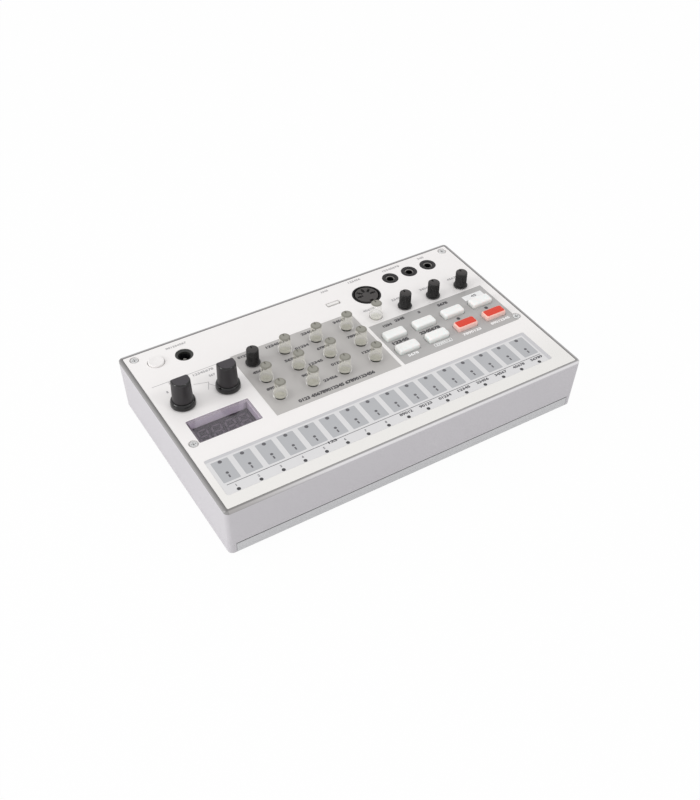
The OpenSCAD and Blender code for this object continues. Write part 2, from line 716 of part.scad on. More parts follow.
// Contact plates on the end walls of the bay, every second one with a spring cone
module battery_contacts() {
    color("silver") for (i = [0:cells - 1], e = [-1, 1])
        translate([bay_at[0] + (i - (cells - 1)/2)*(cell_d + cell_play), bay_at[1] + e*bay_d/2, floor_z + bay_h/2])
            rotate([e*90, 0, 0]) {
                translate([-contact_w/2, -contact_w/2, 0]) cube([contact_w, contact_w, contact_t]);
                if ((i + (e + 1)/2) % 2 == 0) cylinder(r1 = contact_w*0.4, r2 = contact_w*0.22, h = contact_room - cell_play);
                else cylinder(r = contact_w*0.22, h = contact_t*2);
            }
}

// Speaker over the grille, facing down
module speaker() {
    color("dimgray") translate([speaker_at[0], speaker_at[1], floor_z]) rotate_extrude()
        polygon([[0, 4], [speaker_r*0.3, 4], [speaker_r - 2, 0.8], [speaker_r - 2, 0], [speaker_r, 0], [speaker_r, 2],
                 [speaker_r*0.6, speaker_h*0.55], [speaker_r*0.55, speaker_h*0.55], [speaker_r*0.55, speaker_h], [0, speaker_h]]);
}

// A board between two y values, notched round the columns and drilled for its screws
module board(y0, y1, z, holes) {
    difference() {
        span([left + board_in, right - board_in, y0, y1], z - board_t, board_t);
        for (p = column_at) translate([p[0], p[1], z - board_t - 1]) cylinder(r = column_r + board_gap, h = board_t + 2);
        for (p = column_at) span([p[0] < 0 ? p[0] - 10 : p[0], p[0] < 0 ? p[0] : p[0] + 10,
                                  p[1] - web_t/2 - board_gap, p[1] + web_t/2 + board_gap], z - board_t - 1, board_t + 2);
        for (p = holes) translate([p[0], p[1], z - board_t - 1]) cylinder(r = board_screw_r + screw_play, h = board_t + 2);
    }
}

// Main board under the knobs, the keys and the touch strip
module main_board() {
    color("darkgreen") board(board_front, board_back, board_z, main_standoffs);
}

// Lower board that carries the sockets along the back edge
module jack_board() {
    color("darkgreen") board(jack_board_front, jack_board_back, jack_board_z, jack_standoffs);
}

// A square potentiometer body with the bearing for a shaft
module pot(p, w, r) {
    translate([p[0], p[1], board_z]) difference() {
        translate([-w/2, -w/2, 0]) cube([w, w, pot_h]);
        translate([0, 0, -1]) cylinder(r = r + shaft_play, h = pot_h + 2);
    }
}

// Potentiometers of all the knobs
module pots() {
    color("slategray") {
        for (p = pots_at) pot(p, pot_w, shaft_r);
        for (p = large_at) pot(p, large_pot_w, large_shaft_r);
    }
}

// Lamps on the main board that light the clear knobs from below
led_h = 0.6;
shaft_end = 1;
module knob_leds() {
    color("khaki") for (p = clear_at) translate([p[0] - 0.8, p[1] - 0.4, board_z]) cube([1.6, 0.8, led_h]);
}

// Dome switches under the keys and the block switch under the power button
switch_w = 8;
switch_h = 5;
module switches() {
    color("khaki") {
        for (i = [1:8]) translate([key_x(i), key_y(i), board_z]) cylinder(r = dome_r, h = dome_h);
        translate([power_at[0] - switch_w/2, power_at[1] - switch_w/2, jack_board_z]) cube([switch_w, switch_w, switch_h]);
    }
}

// Round five-pin socket: a ring, a groove for the plug's shell and a drilled insert
module din_socket() {
    color("black") translate([din_at[0], din_at[1], 0]) difference() {
        union() {
            translate([0, 0, jack_board_z]) cylinder(r = din_body_r, h = seat_z - jack_board_z);
            translate([0, 0, seat_z - 0.1]) cylinder(r = din_r, h = panel_t + 0.2);
        }
        translate([0, 0, top_z - 7]) difference() {
            cylinder(r = din_r - 0.7, h = 9);
            translate([0, 0, -1]) cylinder(r = din_r - 1.4, h = 11);
        }
        for (a = [0:45:180]) rotate(a) translate([din_pin_circle, 0, top_z - 9]) cylinder(r = 0.8, h = 12);
        translate([-1.1, -din_r + 1, top_z - 7]) cube([2.2, 2, 9]);
    }
}

// A 3.5 mm jack: square body, round bush through the panel and a countersunk bore
jack_floor = 1;
module jack(p) {
    color("black") translate([p[0], p[1], 0]) difference() {
        union() {
            translate([-jack_body/2, -jack_body/2, jack_board_z]) cube([jack_body, jack_body, seat_z - jack_board_z]);
            translate([0, 0, seat_z - 0.1]) cylinder(r = jack_bush_r, h = panel_t + 0.2);
        }
        translate([0, 0, jack_board_z + jack_floor]) cylinder(r = jack_bore_r, h = top_z - jack_board_z);
        translate([0, 0, top_z - 0.6]) cylinder(r1 = jack_bore_r, r2 = jack_bore_r + 1.2, h = 0.8);
    }
}

// Round power inlet with its pin, below the panel
module power_inlet() {
    color("black") translate([inlet_at[0], inlet_at[1], jack_board_z]) {
        h = seat_z - inlet_gap - jack_board_z;
        difference() {
            cylinder(r = inlet_hole_r + 0.7, h = h);
            translate([0, 0, h - 9.5]) cylinder(r = inlet_bore_r, h = 10);
        }
        translate([0, 0, h - 9.6]) cylinder(r = inlet_pin_r, h = 8.6);
    }
}

// Flat data socket: a thin metal shell with a tongue
module data_socket() {
    color("silver") translate([usb_at[0], usb_at[1], jack_board_z]) {
        h = top_z - usb_drop - jack_board_z;
        difference() {
            plate(usb_w, usb_d, h, 0.4);
            translate([0, 0, h - usb_depth]) plate(usb_w - 2*usb_wall, usb_d - 2*usb_wall, usb_depth + 1, 0.2);
        }
        translate([-usb_w/4, -0.3, h - usb_depth - 0.1]) cube([usb_w/2, 0.6, usb_depth - 0.9]);
    }
}

// White power button with a flange behind the panel and a stem to its switch
module power_button() {
    color("white") translate([power_at[0], power_at[1], 0]) {
        stem_z = jack_board_z + switch_h + key_travel + stop_gap;
        flange_z = seat_z - flange_gap - key_flange_t;
        translate([0, 0, flange_z]) cylinder(r = power_r, h = top_z + power_h - flange_z);
        translate([0, 0, flange_z]) cylinder(r = power_r + key_flange, h = key_flange_t);
        translate([0, 0, stem_z]) cylinder(r = plunger_r, h = flange_z - stem_z + 0.1);
    }
}

// Outline of a large knob's grip at its top: round in front, flat at the back
module grip_plate(r, flat, h) {
    cylinder(r = r, h = h, $fn = 32);
    translate([-r, 0, 0]) cube([2*r, flat, h]);
}

// Large knob: bell-shaped skirt and a tapered grip with a flat back, bored for its shaft
grip_chamfer = 0.5;
grip_step = 0.25;
module large_knob(p) {
    color("black") translate([p[0], p[1], top_z]) difference() {
        union() {
            rotate_extrude() polygon(concat([[0, knob_lift], [large_r, knob_lift]],
                [for (a = [0:15:90]) [large_grip_r + grip_step + (large_r - large_grip_r - grip_step)*cos(a),
                                      large_skirt_h + (large_waist_h - large_skirt_h)*sin(a)]],
                [[0, large_waist_h]]));
            hull() {
                translate([0, 0, large_waist_h - 0.2]) cylinder(r = large_grip_r, h = 0.1, $fn = 32);
                translate([0, 0, large_h - grip_chamfer - 0.1]) grip_plate(large_top_r, large_flat, 0.1);
                translate([0, 0, large_h - 0.1]) grip_plate(large_top_r - grip_chamfer, large_flat - grip_chamfer, 0.1);
            }
        }
        translate([0, 0, -1]) cylinder(r = large_shaft_r + shaft_play, h = large_h - large_cap_t + 1);
    }
}

// Shaft of a large knob, from its potentiometer to the cap of the knob
module large_shaft(p) {
    color("silver") translate([p[0], p[1], board_z + shaft_end])
        cylinder(r = large_shaft_r, h = top_z + large_h - large_cap_t - 0.2 - board_z - shaft_end);
}

// Small knob in one piece with its shaft, fluted for grip, with a pointer groove
module small_knob(p) {
    color("black") translate([p[0], p[1], top_z]) difference() {
        union() {
            rotate_extrude() polygon([[0, knob_lift], [small_foot_r, knob_lift], [small_foot_r, small_foot_h - 0.5],
                                      [small_r + 0.1, small_foot_h], [small_r, small_h - 0.5], [small_r - 0.5, small_h], [0, small_h]]);
            translate([0, 0, board_z + shaft_end - top_z]) cylinder(r = shaft_r, h = top_z - board_z - shaft_end + 1);
        }
        for (i = [0:flutes - 1]) rotate(i*360/flutes)
            translate([small_r + 0.06, 0, small_foot_h + 0.3]) cylinder(r = flute_r, h = small_h, $fn = 16);
        translate([-groove_w/2, small_r*0.2, small_h - groove_t]) cube([groove_w, small_r, 1]);
    }
}

// Clear knob in one piece with its shaft, with a flared foot and a pointer groove
module clear_knob(p) {
    color("lightcyan", 0.5) translate([p[0], p[1], top_z]) difference() {
        union() {
            rotate_extrude() polygon([[0, knob_lift], [clear_foot_r, knob_lift], [clear_foot_r, clear_foot_h - 0.4],
                                      [clear_top_r + 0.25, clear_foot_h], [clear_top_r, clear_h - 0.3], [clear_top_r - 0.3, clear_h], [0, clear_h]]);
            translate([0, 0, board_z + shaft_end - top_z]) cylinder(r = shaft_r, h = top_z - board_z - shaft_end + 1);
        }
        translate([-groove_w/2, clear_top_r*0.2, clear_h - groove_t]) cube([groove_w, clear_top_r, 1]);
    }
}

// Rubber key: a soft-edged block through the panel, a flange behind it and a plunger
module key(i) {
    color("ivory") translate([key_x(i), key_y(i), 0]) {
        flange_z = seat_z - flange_gap - key_flange_t;
        stem_z = board_z + dome_h + key_travel + stop_gap;
        hull() for (sx = [-1, 1], sy = [-1, 1])
            translate([sx*(key_w/2 - key_round), sy*(key_d/2 - key_round), 0]) {
                translate([0, 0, flange_z]) cylinder(r = key_round, h = 0.1, $fn = 16);
                translate([0, 0, top_z + key_h - key_round]) sphere(r = key_round, $fn = 16);
            }
        translate([0, 0, flange_z]) plate(key_w + 2*key_flange, key_d + 2*key_flange, key_flange_t, key_round);
        translate([0, 0, stem_z]) cylinder(r = plunger_r, h = flange_z - stem_z + 0.1);
    }
}

casing();
bottom_cover();
bezel();
front_panel();
knob_field();
key_field();
touch_sheet();
touch_pads();
display_window();
display_well();
display_module();
panel_screws();
cover_screws();
board_screws();
board_standoffs();
feet();
battery_door();
battery_box();
battery_contacts();
speaker();
main_board();
jack_board();
pots();
knob_leds();
switches();
din_socket();
jack(jack_at[0]);  // jack_left
jack(jack_at[1]);  // jack_middle
jack(jack_at[2]);  // jack_right
power_inlet();
data_socket();
power_button();
large_knob(large_at[0]);  // large_knob_left
large_knob(large_at[1]);  // large_knob_right
large_shaft(large_at[0]);  // large_shaft_left
large_shaft(large_at[1]);  // large_shaft_right
for (i = [1:4]) small_knob(small_at[i - 1]);
for (i = [1:12]) clear_knob(clear_at[i - 1]);
for (i = [1:8]) key(i);
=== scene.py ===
import math

import bpy
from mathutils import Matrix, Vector


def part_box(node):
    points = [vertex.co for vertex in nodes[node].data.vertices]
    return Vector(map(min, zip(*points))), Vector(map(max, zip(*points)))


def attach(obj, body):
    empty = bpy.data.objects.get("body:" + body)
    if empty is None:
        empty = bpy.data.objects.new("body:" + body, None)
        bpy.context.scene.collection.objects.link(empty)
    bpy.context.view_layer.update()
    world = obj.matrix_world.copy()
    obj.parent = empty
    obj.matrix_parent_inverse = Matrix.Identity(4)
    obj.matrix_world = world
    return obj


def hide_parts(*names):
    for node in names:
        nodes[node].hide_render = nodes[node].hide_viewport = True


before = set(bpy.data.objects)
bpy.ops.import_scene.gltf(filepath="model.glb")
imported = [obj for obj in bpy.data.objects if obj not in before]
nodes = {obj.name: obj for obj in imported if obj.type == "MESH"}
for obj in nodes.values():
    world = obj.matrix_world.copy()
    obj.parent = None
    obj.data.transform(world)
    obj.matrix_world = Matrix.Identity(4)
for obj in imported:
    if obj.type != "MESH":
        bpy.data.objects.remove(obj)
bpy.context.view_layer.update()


# Studio
# A white floor under a white surround, lit by two soft boxes and seen from the
# photograph's angle. It is the stage, not a piece of the object.
def add(tree, kind, inputs=None, **settings):
    """One node of a tree, with its settings and with values or links on its inputs."""
    node = tree.nodes.new(kind)
    for name, value in settings.items():
        setattr(node, name, value)
    for name, value in (inputs or {}).items():
        if isinstance(value, bpy.types.NodeSocket):
            tree.links.new(value, node.inputs[name])
        else:
            node.inputs[name].default_value = value
    return node


def reckon(tree, operation, *values):
    """The result of one sum on values or sockets."""
    return add(tree, "ShaderNodeMath", dict(enumerate(values)), operation=operation).outputs[0]


def ramp(tree, value, start=0.0, end=1.0, low=0.0, high=1.0):
    """A value that goes from low to high while another goes from start to end."""
    inputs = {"Value": value, "From Min": start, "From Max": end, "To Min": low, "To Max": high}
    return add(tree, "ShaderNodeMapRange", inputs).outputs[0]


def spot(tree):
    """The place on a piece, in the frame that all pieces share."""
    return add(tree, "ShaderNodeTexCoord").outputs["Object"]


def cloud(tree, scale, detail=2.0):
    """Soft cloudy noise over a piece."""
    return add(tree, "ShaderNodeTexNoise", {"Vector": spot(tree), "Scale": scale, "Detail": detail}).outputs["Fac"]


def emptied(owner):
    """The cleared node tree of a world or a material."""
    owner.use_nodes = True
    owner.node_tree.nodes.clear()
    return owner.node_tree


def new_finish(name):
    """A new material and its empty tree."""
    material = bpy.data.materials.new(name)
    return material, emptied(material)


def seen_directly(tree):
    """One for the rays that show the studio to the eye, in a mirror or through glass."""
    ray = add(tree, "ShaderNodeLightPath").outputs
    seen = reckon(tree, "MAXIMUM", ray["Is Camera Ray"], ray["Is Glossy Ray"])
    return reckon(tree, "MAXIMUM", seen, ray["Is Transmission Ray"])


def meshed(name, points, faces, materials):
    """A new mesh with its materials."""
    mesh = bpy.data.meshes.new(name)
    mesh.from_pydata(points, [], faces)
    for material in materials:
        mesh.materials.append(material)
    return mesh


def placed(name, data):
    """A new object of the scene, at the origin."""
    thing = bpy.data.objects.new(name, data)
    scene.collection.objects.link(thing)
    return thing


scene = bpy.context.scene
scene.view_settings.view_transform = "Standard"

lens = bpy.data.cameras.new("camera")
lens.lens, lens.sensor_width, lens.clip_start = 48.68, 36, 0.01
camera = placed("camera", lens)
camera.location = (-0.21352, -0.33508, 0.37174)
camera.rotation_euler = [math.radians(turn) for turn in (47.2286, -1.0171, -31.5988)]
scene.camera = camera

white, sky_light = (1, 1, 1, 1), 0.795
surround = bpy.data.worlds.new("surround")
scene.world = surround
tree = emptied(surround)
sky = add(tree, "ShaderNodeBackground", {"Color": white, "Strength": ramp(tree, seen_directly(tree), low=sky_light)})
add(tree, "ShaderNodeOutputWorld", {"Surface": sky.outputs[0]})

for name, place, size, power in (
        ("soft_box_left", (-0.95, 0.10, 0.38), 0.5, 3.4), ("soft_box_right", (0.40, -0.65, 0.90), 0.25, 1.2)):
    lamp = bpy.data.lights.new(name, "AREA")
    lamp.shape, lamp.size, lamp.energy = "DISK", size, power
    stand = placed(name, lamp)
    stand.location = place
    stand.rotation_euler = (-Vector(place)).to_track_quat("-Z", "Y").to_euler()

reach, paper_glow = 3, 0.97
floor_paper, tree = new_finish("floor_paper")
paper = add(tree, "ShaderNodeBsdfDiffuse", {"Color": ramp(tree, cloud(tree, 400.0), low=0.80, high=0.84)})
glow = add(tree, "ShaderNodeEmission", {"Color": white, "Strength": 1.0})
share = reckon(tree, "MULTIPLY", seen_directly(tree), paper_glow)
sheet = add(tree, "ShaderNodeMixShader", {0: share, 1: paper.outputs[0], 2: glow.outputs[0]})
add(tree, "ShaderNodeOutputMaterial", {"Surface": sheet.outputs[0]})
square = ((-1, -1), (1, -1), (1, 1), (-1, 1))
floor_corners = [(a * reach, b * reach, 0) for a, b in square]
floor = placed("floor", meshed("floor", floor_corners, [(0, 1, 2, 3)], [floor_paper]))


# Casing
# The grey four-walled case, moulded in one piece with a fine matt skin, with a column
# inside for each screw.
def tint(colour):
    """A colour of 0 to 255 in the linear values of shaders; a socket stays as it is."""
    if isinstance(colour, bpy.types.NodeSocket):
        return colour
    return tuple((v / 255 / 12.92) if v <= 10 else ((v / 255 + 0.055) / 1.055) ** 2.4 for v in colour) + (1.0,)


moulded_skin = tree = bpy.data.node_groups.new("moulded_skin", "ShaderNodeTree")
skin_inputs = (("Colour", "Color"), ("Tone spread", "Float"), ("Roughness", "Float"), ("Grain scale", "Float"))
skin_outputs = (("Colour", "Color"), ("Roughness", "Float"), ("Height", "Float"))
for way, sockets in (("INPUT", skin_inputs), ("OUTPUT", skin_outputs)):
    for label, kind in sockets:
        tree.interface.new_socket(label, in_out=way, socket_type="NodeSocket" + kind)
given = add(tree, "NodeGroupInput").outputs
grain = cloud(tree, given["Grain scale"])
swing = reckon(tree, "SUBTRACT", cloud(tree, 45.0, 3.0), 0.5)
shift = reckon(tree, "MULTIPLY_ADD", swing, given["Tone spread"], 1.0)
tinted = add(tree, "ShaderNodeVectorMath", {0: given["Colour"], 1: shift}, operation="MULTIPLY")
polish = reckon(tree, "MULTIPLY_ADD", grain, 0.12, -0.06)
gloss = reckon(tree, "ADD", given["Roughness"], polish)
add(tree, "NodeGroupOutput", {"Colour": tinted.outputs[0], "Roughness": gloss, "Height": grain})


def closed(tree, surface):
    """The closing nodes of a material, from values or links."""
    shader = add(tree, "ShaderNodeBsdfPrincipled", surface)
    add(tree, "ShaderNodeOutputMaterial", {"Surface": shader.outputs[0]})


def skinned(tree, colour, roughness, spread=0.05, grain=2600.0, relief=0.06, **sockets):
    """The closing nodes of a moulded plastic: a colour or a socket under a fine skin."""
    inputs = {"Colour": tint(colour), "Tone spread": spread, "Roughness": roughness, "Grain scale": grain}
    skin = add(tree, "ShaderNodeGroup", inputs, node_tree=moulded_skin).outputs
    bump = add(tree, "ShaderNodeBump", {"Height": skin["Height"], "Strength": relief, "Distance": 0.0001})
    surface = {"Base Color": skin["Colour"], "Roughness": skin["Roughness"], "Normal": bump.outputs["Normal"]}
    closed(tree, surface | {label.replace("_", " "): value for label, value in sockets.items()})


def moulded(name, colour, roughness, **finish):
    """A moulded plastic or rubber with a fine skin and a soft gloss."""
    material, tree = new_finish(name)
    skinned(tree, colour, roughness, **finish)
    return material


def dress(material, *names):
    """CAD nodes whose shape is right keep it and take this finish."""
    for name in names:
        nodes[name].data.materials.clear()
        nodes[name].data.materials.append(material)


dress(moulded("case_grey", (200, 197, 201), 0.52), "casing")


# Bottom cover and battery door
# A flat grey cover inside the walls, whose lip shows along the front, and the door over
# the cells, which lies flush in it. The lip's top edge is painted dark where it meets the
# case, as shade and dirt in the seam.
def axes(tree):
    """The place on a piece as its X, Y and Z."""
    return add(tree, "ShaderNodeSeparateXYZ", {0: spot(tree)}).outputs


def blend(tree, share, first, second):
    """A colour between two colours or sockets."""
    return add(tree, "ShaderNodeMix", {0: share, 6: tint(first), 7: tint(second)}, data_type="RGBA").outputs[2]


MM = 0.001
lip_top, seam_start, seam_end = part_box("bottom_cover")[1].z, 0.5, 0.15
cover_grey, tree = new_finish("cover_grey")
# Painted shade and dirt: the lip darkens over its top half millimetre, along the seam.
seam_shade_and_dirt = ramp(tree, axes(tree)["Z"], lip_top - seam_start * MM, lip_top - seam_end * MM)
skinned(tree, blend(tree, seam_shade_and_dirt, (204, 204, 206), (84, 82, 84)), 0.46)
dress(cover_grey, "bottom_cover")
dress(moulded("door_grey", (208, 208, 210), 0.46), "battery_door")


# Cover screws and board screws
# Zinc-plated steel screws that hold the bottom cover on the columns and the boards on
# their standoffs, their plating a little cloudy.
def plated(name, colour, roughness, scale=900.0, lift=0.10, dimming=0.82):
    """A plated metal with fine cloudy polish."""
    material, tree = new_finish(name)
    polish, bright = cloud(tree, scale, 3.0), tint(colour)
    dim = tuple(c * dimming for c in bright[:3]) + (1.0,)
    tone = add(tree, "ShaderNodeMix", {0: polish, 6: dim, 7: bright}, data_type="RGBA").outputs[2]
    dull = ramp(tree, polish, low=roughness - lift, high=roughness + lift)
    closed(tree, {"Base Color": tone, "Roughness": dull, "Metallic": 1.0})
    return material


screw_steel = plated("screw_steel", (226, 226, 226), 0.38)
dress(screw_steel, "cover_screws", "board_screws")


# Feet
# Four low rubber feet, each pressed into a round pocket of the bottom cover, with a
# rounded edge where it stands on the table.
def eased(outline, radius, steps=4):
    """An open outline of (radius, height) points with its inner corners rounded off."""
    points = [Vector(p) for p in outline]
    soft = [points[0]]
    for before, corner, after in zip(points, points[1:], points[2:]):
        back, on = before - corner, after - corner
        cut = min(radius, back.length * 0.45, on.length * 0.45)
        start, end = corner + back.normalized() * cut, corner + on.normalized() * cut
        for k in range(steps + 1):
            t = k / steps
            soft.append(start * (1 - t) ** 2 + corner * 2 * t * (1 - t) + end * t * t)
    return soft + [points[-1]]


def turned(outline, centre, sides=64, flute=None):
    """Rings of a turned shape about an upright axis; flute bends each ring's radius."""
    rings = []
    for radius, height in outline:
        ring = []
        for k in range(sides):
            angle = math.tau * k / sides
            r = (flute(radius, height, angle) if flute else radius) * MM
            ring.append((centre[0] + r * math.cos(angle), centre[1] + r * math.sin(angle), centre[2] + height * MM))
        rings.append(ring)
    return rings


def lofted(name, shells, material, crease=38, hoop=False):
    """A closed smooth mesh through the rings of each shell, capped or closed to a hoop."""
    points, faces = [], []
    for rings in shells:
        first, count = len(points), len(rings[0])
        points += [p for ring in rings for p in ring]
        for r in range(len(rings) - (not hoop)):
            a, b = first + r * count, first + (r + 1) % len(rings) * count
            faces += [(a + k, a + (k + 1) % count, b + (k + 1) % count, b + k) for k in range(count)]
        if not hoop:
            faces.append(tuple(first + k for k in reversed(range(count))))
            faces.append(tuple(first + (len(rings) - 1) * count + k for k in range(count)))
    mesh = meshed(name, points, faces, [material])
    mesh.polygons.foreach_set("use_smooth", [True] * len(mesh.polygons))
    mesh.set_sharp_from_angle(angle=math.radians(crease))
    return placed(name, mesh)


low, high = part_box("feet")
foot_r, foot_core, foot_t = 5.0, 0.6, (high.z - low.z) / MM
foot_side = eased([(foot_core, 0), (foot_r - foot_core, 0), (foot_r, foot_t * 0.45), (foot_r, foot_t),
                   (foot_core, foot_t)], 0.5)
foot_places = [(x, y, low.z) for x in (low.x + foot_r * MM, high.x - foot_r * MM)
               for y in (low.y + foot_r * MM, high.y - foot_r * MM)]
foot_rubber = moulded("foot_rubber", (46, 45, 47), 0.78, grain=1500.0, relief=0.25)
rubber_feet = lofted("rubber_feet", [turned(foot_side, p, 48) for p in foot_places], foot_rubber)
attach(rubber_feet, "chassis")
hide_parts("feet")


# Battery box, contacts and speaker
# A grey box over the six cells with plated spring contacts on its end walls, and a small
# speaker with a pressed steel basket that faces down over the grille.
dress(moulded("box_grey", (150, 150, 152), 0.58), "battery_box")
dress(plated("contact_plate", (205, 200, 186), 0.28), "battery_contacts")
dress(plated("speaker_basket", (96, 95, 98), 0.48, scale=420.0), "speaker")


# Circuit boards
# Two green glass-fibre boards under the panel. Copper lines show faintly through the
# solder mask, and white standoffs carry the boards from the panel.
def board_mask(name, line_pitch, line_w=0.00022, run=5):
    """Green solder mask with copper lines along the board and cloudy fibre."""
    material, tree = new_finish(name)
    lines = add(tree, "ShaderNodeTexBrick", {
        "Vector": spot(tree), "Scale": 1.0, "Mortar Size": line_w, "Brick Width": line_pitch * run,
        "Row Height": line_pitch, "Color1": tint((38, 92, 62)), "Color2": tint((34, 86, 58)),
        "Mortar": tint((66, 128, 88))}).outputs
    bump = add(tree, "ShaderNodeBump", {"Height": lines["Fac"], "Strength": 0.3, "Distance": 0.00005})
    dull = ramp(tree, cloud(tree, 700.0), low=0.28, high=0.44)
    closed(tree, {"Base Color": lines["Color"], "Roughness": dull, "Normal": bump.outputs["Normal"]})
    return material


dress(board_mask("board_green", 0.0026), "main_board")
dress(board_mask("jack_board_green", 0.0019), "jack_board")
dress(moulded("standoff_white", (226, 224, 220), 0.5), "board_standoffs")


# Potentiometers, switches, lamps and shafts
# The pots and switches are dark moulded blocks soldered to the boards, the lamps small
# pale chips, and the two large pots have plain turned steel shafts.
dress(moulded("part_dark", (62, 61, 66), 0.55), "pots", "switches")
dress(moulded("lamp_chip", (226, 214, 178), 0.35), "knob_leds")
dress(plated("shaft_steel", (190, 188, 184), 0.3), "large_shaft_left", "large_shaft_right")


# Display
# A four-digit block with unlit segments at the bottom of a white well, and over it a
# glossy violet-tinted acrylic window that lies flush in the panel.
low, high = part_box("display_module")
painted_shade_w = 2
well_white, tree = new_finish("well_white")
# Painted shade: the well's white darkens over its last 2 mm at the right end.
well_painted_shade = ramp(tree, axes(tree)["X"], high.x - painted_shade_w * MM, high.x)
skinned(tree, blend(tree, well_painted_shade, (246, 242, 246), (190, 185, 190)), 0.5)
dress(well_white, "display_well")
dress(moulded("display_face", (60, 55, 60), 0.42), "display_module")


def flat_mark(sheet, outline):
    """One flat printed face on a sheet of marks, in millimetres."""
    first = len(sheet[0])
    sheet[0].extend(outline)
    sheet[1].append(tuple(range(first, first + len(outline))))


def printed(name, sheet, level, ink, colour, **finish):
    """A sheet of marks as one thin print at a height, in a named ink."""
    points = [(x * MM, y * MM, level) for x, y in sheet[0]]
    piece = placed(name, meshed(name, points, sheet[1], [moulded(ink, colour, 0.5, **finish)]))
    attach(piece, "chassis")
    return piece


middle = (low + high) / 2 / MM
digit_w, digit_h, digit_pitch, digit_drop, stroke_w, slant = 4.4, 8.2, 6.9, 0.3, 0.85, 0.12
w, h, s = digit_w / 2, digit_h / 4, stroke_w / 2
lying = [(-w + 2 * s, -s), (w - 2 * s, -s), (w - s, 0), (w - 2 * s, s), (-w + 2 * s, s), (-w + s, 0)]
standing = [(0, -h + s), (s, -h + 2 * s), (s, h - 2 * s), (0, h - s), (-s, h - 2 * s), (-s, -h + 2 * s)]
strokes = [(lying, 0, 2 * h * rung) for rung in (-1, 0, 1)]
strokes += [(standing, side * w, h * rung) for side in (-1, 1) for rung in (-1, 1)]
digit_sheet, ink_t = ([], []), 0.02
for k in range(4):
    cx, cy = middle.x + (k - 1.5) * digit_pitch, middle.y - digit_drop
    for stroke, right, up in strokes:
        flat_mark(digit_sheet, [(cx + right + x + slant * (y + up), cy + y + up) for x, y in stroke])
segments = printed("digit_segments", digit_sheet, high.z + ink_t * MM, "segment_grey", (108, 101, 108))

tinted_acrylic, tree = new_finish("tinted_acrylic")
flow = cloud(tree, 500.0)
hue = blend(tree, flow, (221, 214, 225), (226, 219, 230))
normal = add(tree, "ShaderNodeNewGeometry").outputs["Normal"]
upright = add(tree, "ShaderNodeSeparateXYZ", {0: normal}).outputs["Z"]
flat = reckon(tree, "GREATER_THAN", reckon(tree, "ABSOLUTE", upright), 0.5)
sawn = blend(tree, flat, (128, 121, 130), hue)
dull = ramp(tree, flow, low=0.02, high=0.04)
glass = {"Base Color": sawn, "Roughness": dull, "IOR": 1.49, "Transmission Weight": 1.0}
body = add(tree, "ShaderNodeBsdfPrincipled", glass)
through = add(tree, "ShaderNodeBsdfTransparent", {"Color": tint((252, 250, 253))})
ray = add(tree, "ShaderNodeLightPath").outputs
lighting = reckon(tree, "MAXIMUM", ray["Is Shadow Ray"], ray["Is Diffuse Ray"])
mixed = add(tree, "ShaderNodeMixShader", {0: lighting, 1: body.outputs[0], 2: through.outputs[0]})
add(tree, "ShaderNodeOutputMaterial", {"Surface": mixed.outputs[0]})
dress(tinted_acrylic, "display_window")


def bar(sheet, x0, y0, x1, y1):
    """A printed bar between two corners."""
    flat_mark(sheet, [(x0, y0), (x1, y0), (x1, y1), (x0, y1)])


border_w, clear, border_lift = 0.9, 0.02, 0.03
low, high = (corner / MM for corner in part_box("display_window"))
left, right, front, back = low.x + border_w, high.x - border_w, low.y + border_w, high.y - border_w
# Painted light and shade: the near bars are dark as the well's shaded near edge, the far bars pale as its lit far edge.
near_sheet, far_sheet = ([], []), ([], [])
bar(near_sheet, low.x + clear, low.y + clear, right, front)
bar(near_sheet, low.x + clear, front, left, back)
bar(far_sheet, low.x + clear, back, right, high.y - clear)
bar(far_sheet, right, low.y + clear, high.x - clear, high.y - clear)
for name, sheet, ink in (
        ("window_border_near", near_sheet, (116, 109, 116)), ("window_border_far", far_sheet, (180, 174, 180))):
    border = printed(name, sheet, (low.z + border_lift) * MM, name + "_ink", ink)


# Front panel
# The white moulded panel with every opening, silk-screened in pale grey: figures behind
# knobs and sockets, a few fine lines beside the large knobs and one long thin line.
low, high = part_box("front_panel")
face, shade_start, shade_end = high.z, 10, 35
panel_white, tree = new_finish("panel_white")
# Painted shade: the panel's white darkens towards its front edge.
front_painted_shade = ramp(tree, axes(tree)["Y"], low.y + shade_start * MM, low.y + shade_end * MM)
skinned(tree, blend(tree, front_painted_shade, (237, 235, 232), (246, 243, 242)), 0.42, spread=0.03, relief=0.04)
dress(panel_white, "front_panel")
print_level = face + 0.03 * MM


def as_mesh(holder):
    """A plain mesh of an object as its modifiers or its font make it."""
    bpy.context.view_layer.update()
    return bpy.data.meshes.new_from_object(holder.evaluated_get(bpy.context.evaluated_depsgraph_get()))


def figures(sheet, text, height, x, y, width=None, weight=0.05):
    """Plain figures centred on a point, drawn out to a width, added to a sheet of marks."""
    curve = bpy.data.curves.new("figures", "FONT")
    curve.body, curve.size, curve.resolution_u, curve.offset = text, height * 1.4, 3, weight * height
    holder = placed("figures", curve)
    mesh = as_mesh(holder)
    across = [v.co.x for v in mesh.vertices]
    left, right = min(across), max(across)
    drawn = width / (right - left) if width else 1.0
    for polygon in mesh.polygons:
        corners = [mesh.vertices[v].co for v in polygon.vertices]
        flat_mark(sheet, [(x + (c.x - (left + right) / 2) * drawn, y + c.y - height / 2) for c in corners])
    bpy.data.objects.remove(holder)
    bpy.data.curves.remove(curve)
    bpy.data.meshes.remove(mesh)


def counting(first, width, height):
    """Figures that count on from a number, as many as fill a width."""
    return "".join(str((first + k) % 10) for k in range(max(1, round(width / height / 0.92))))


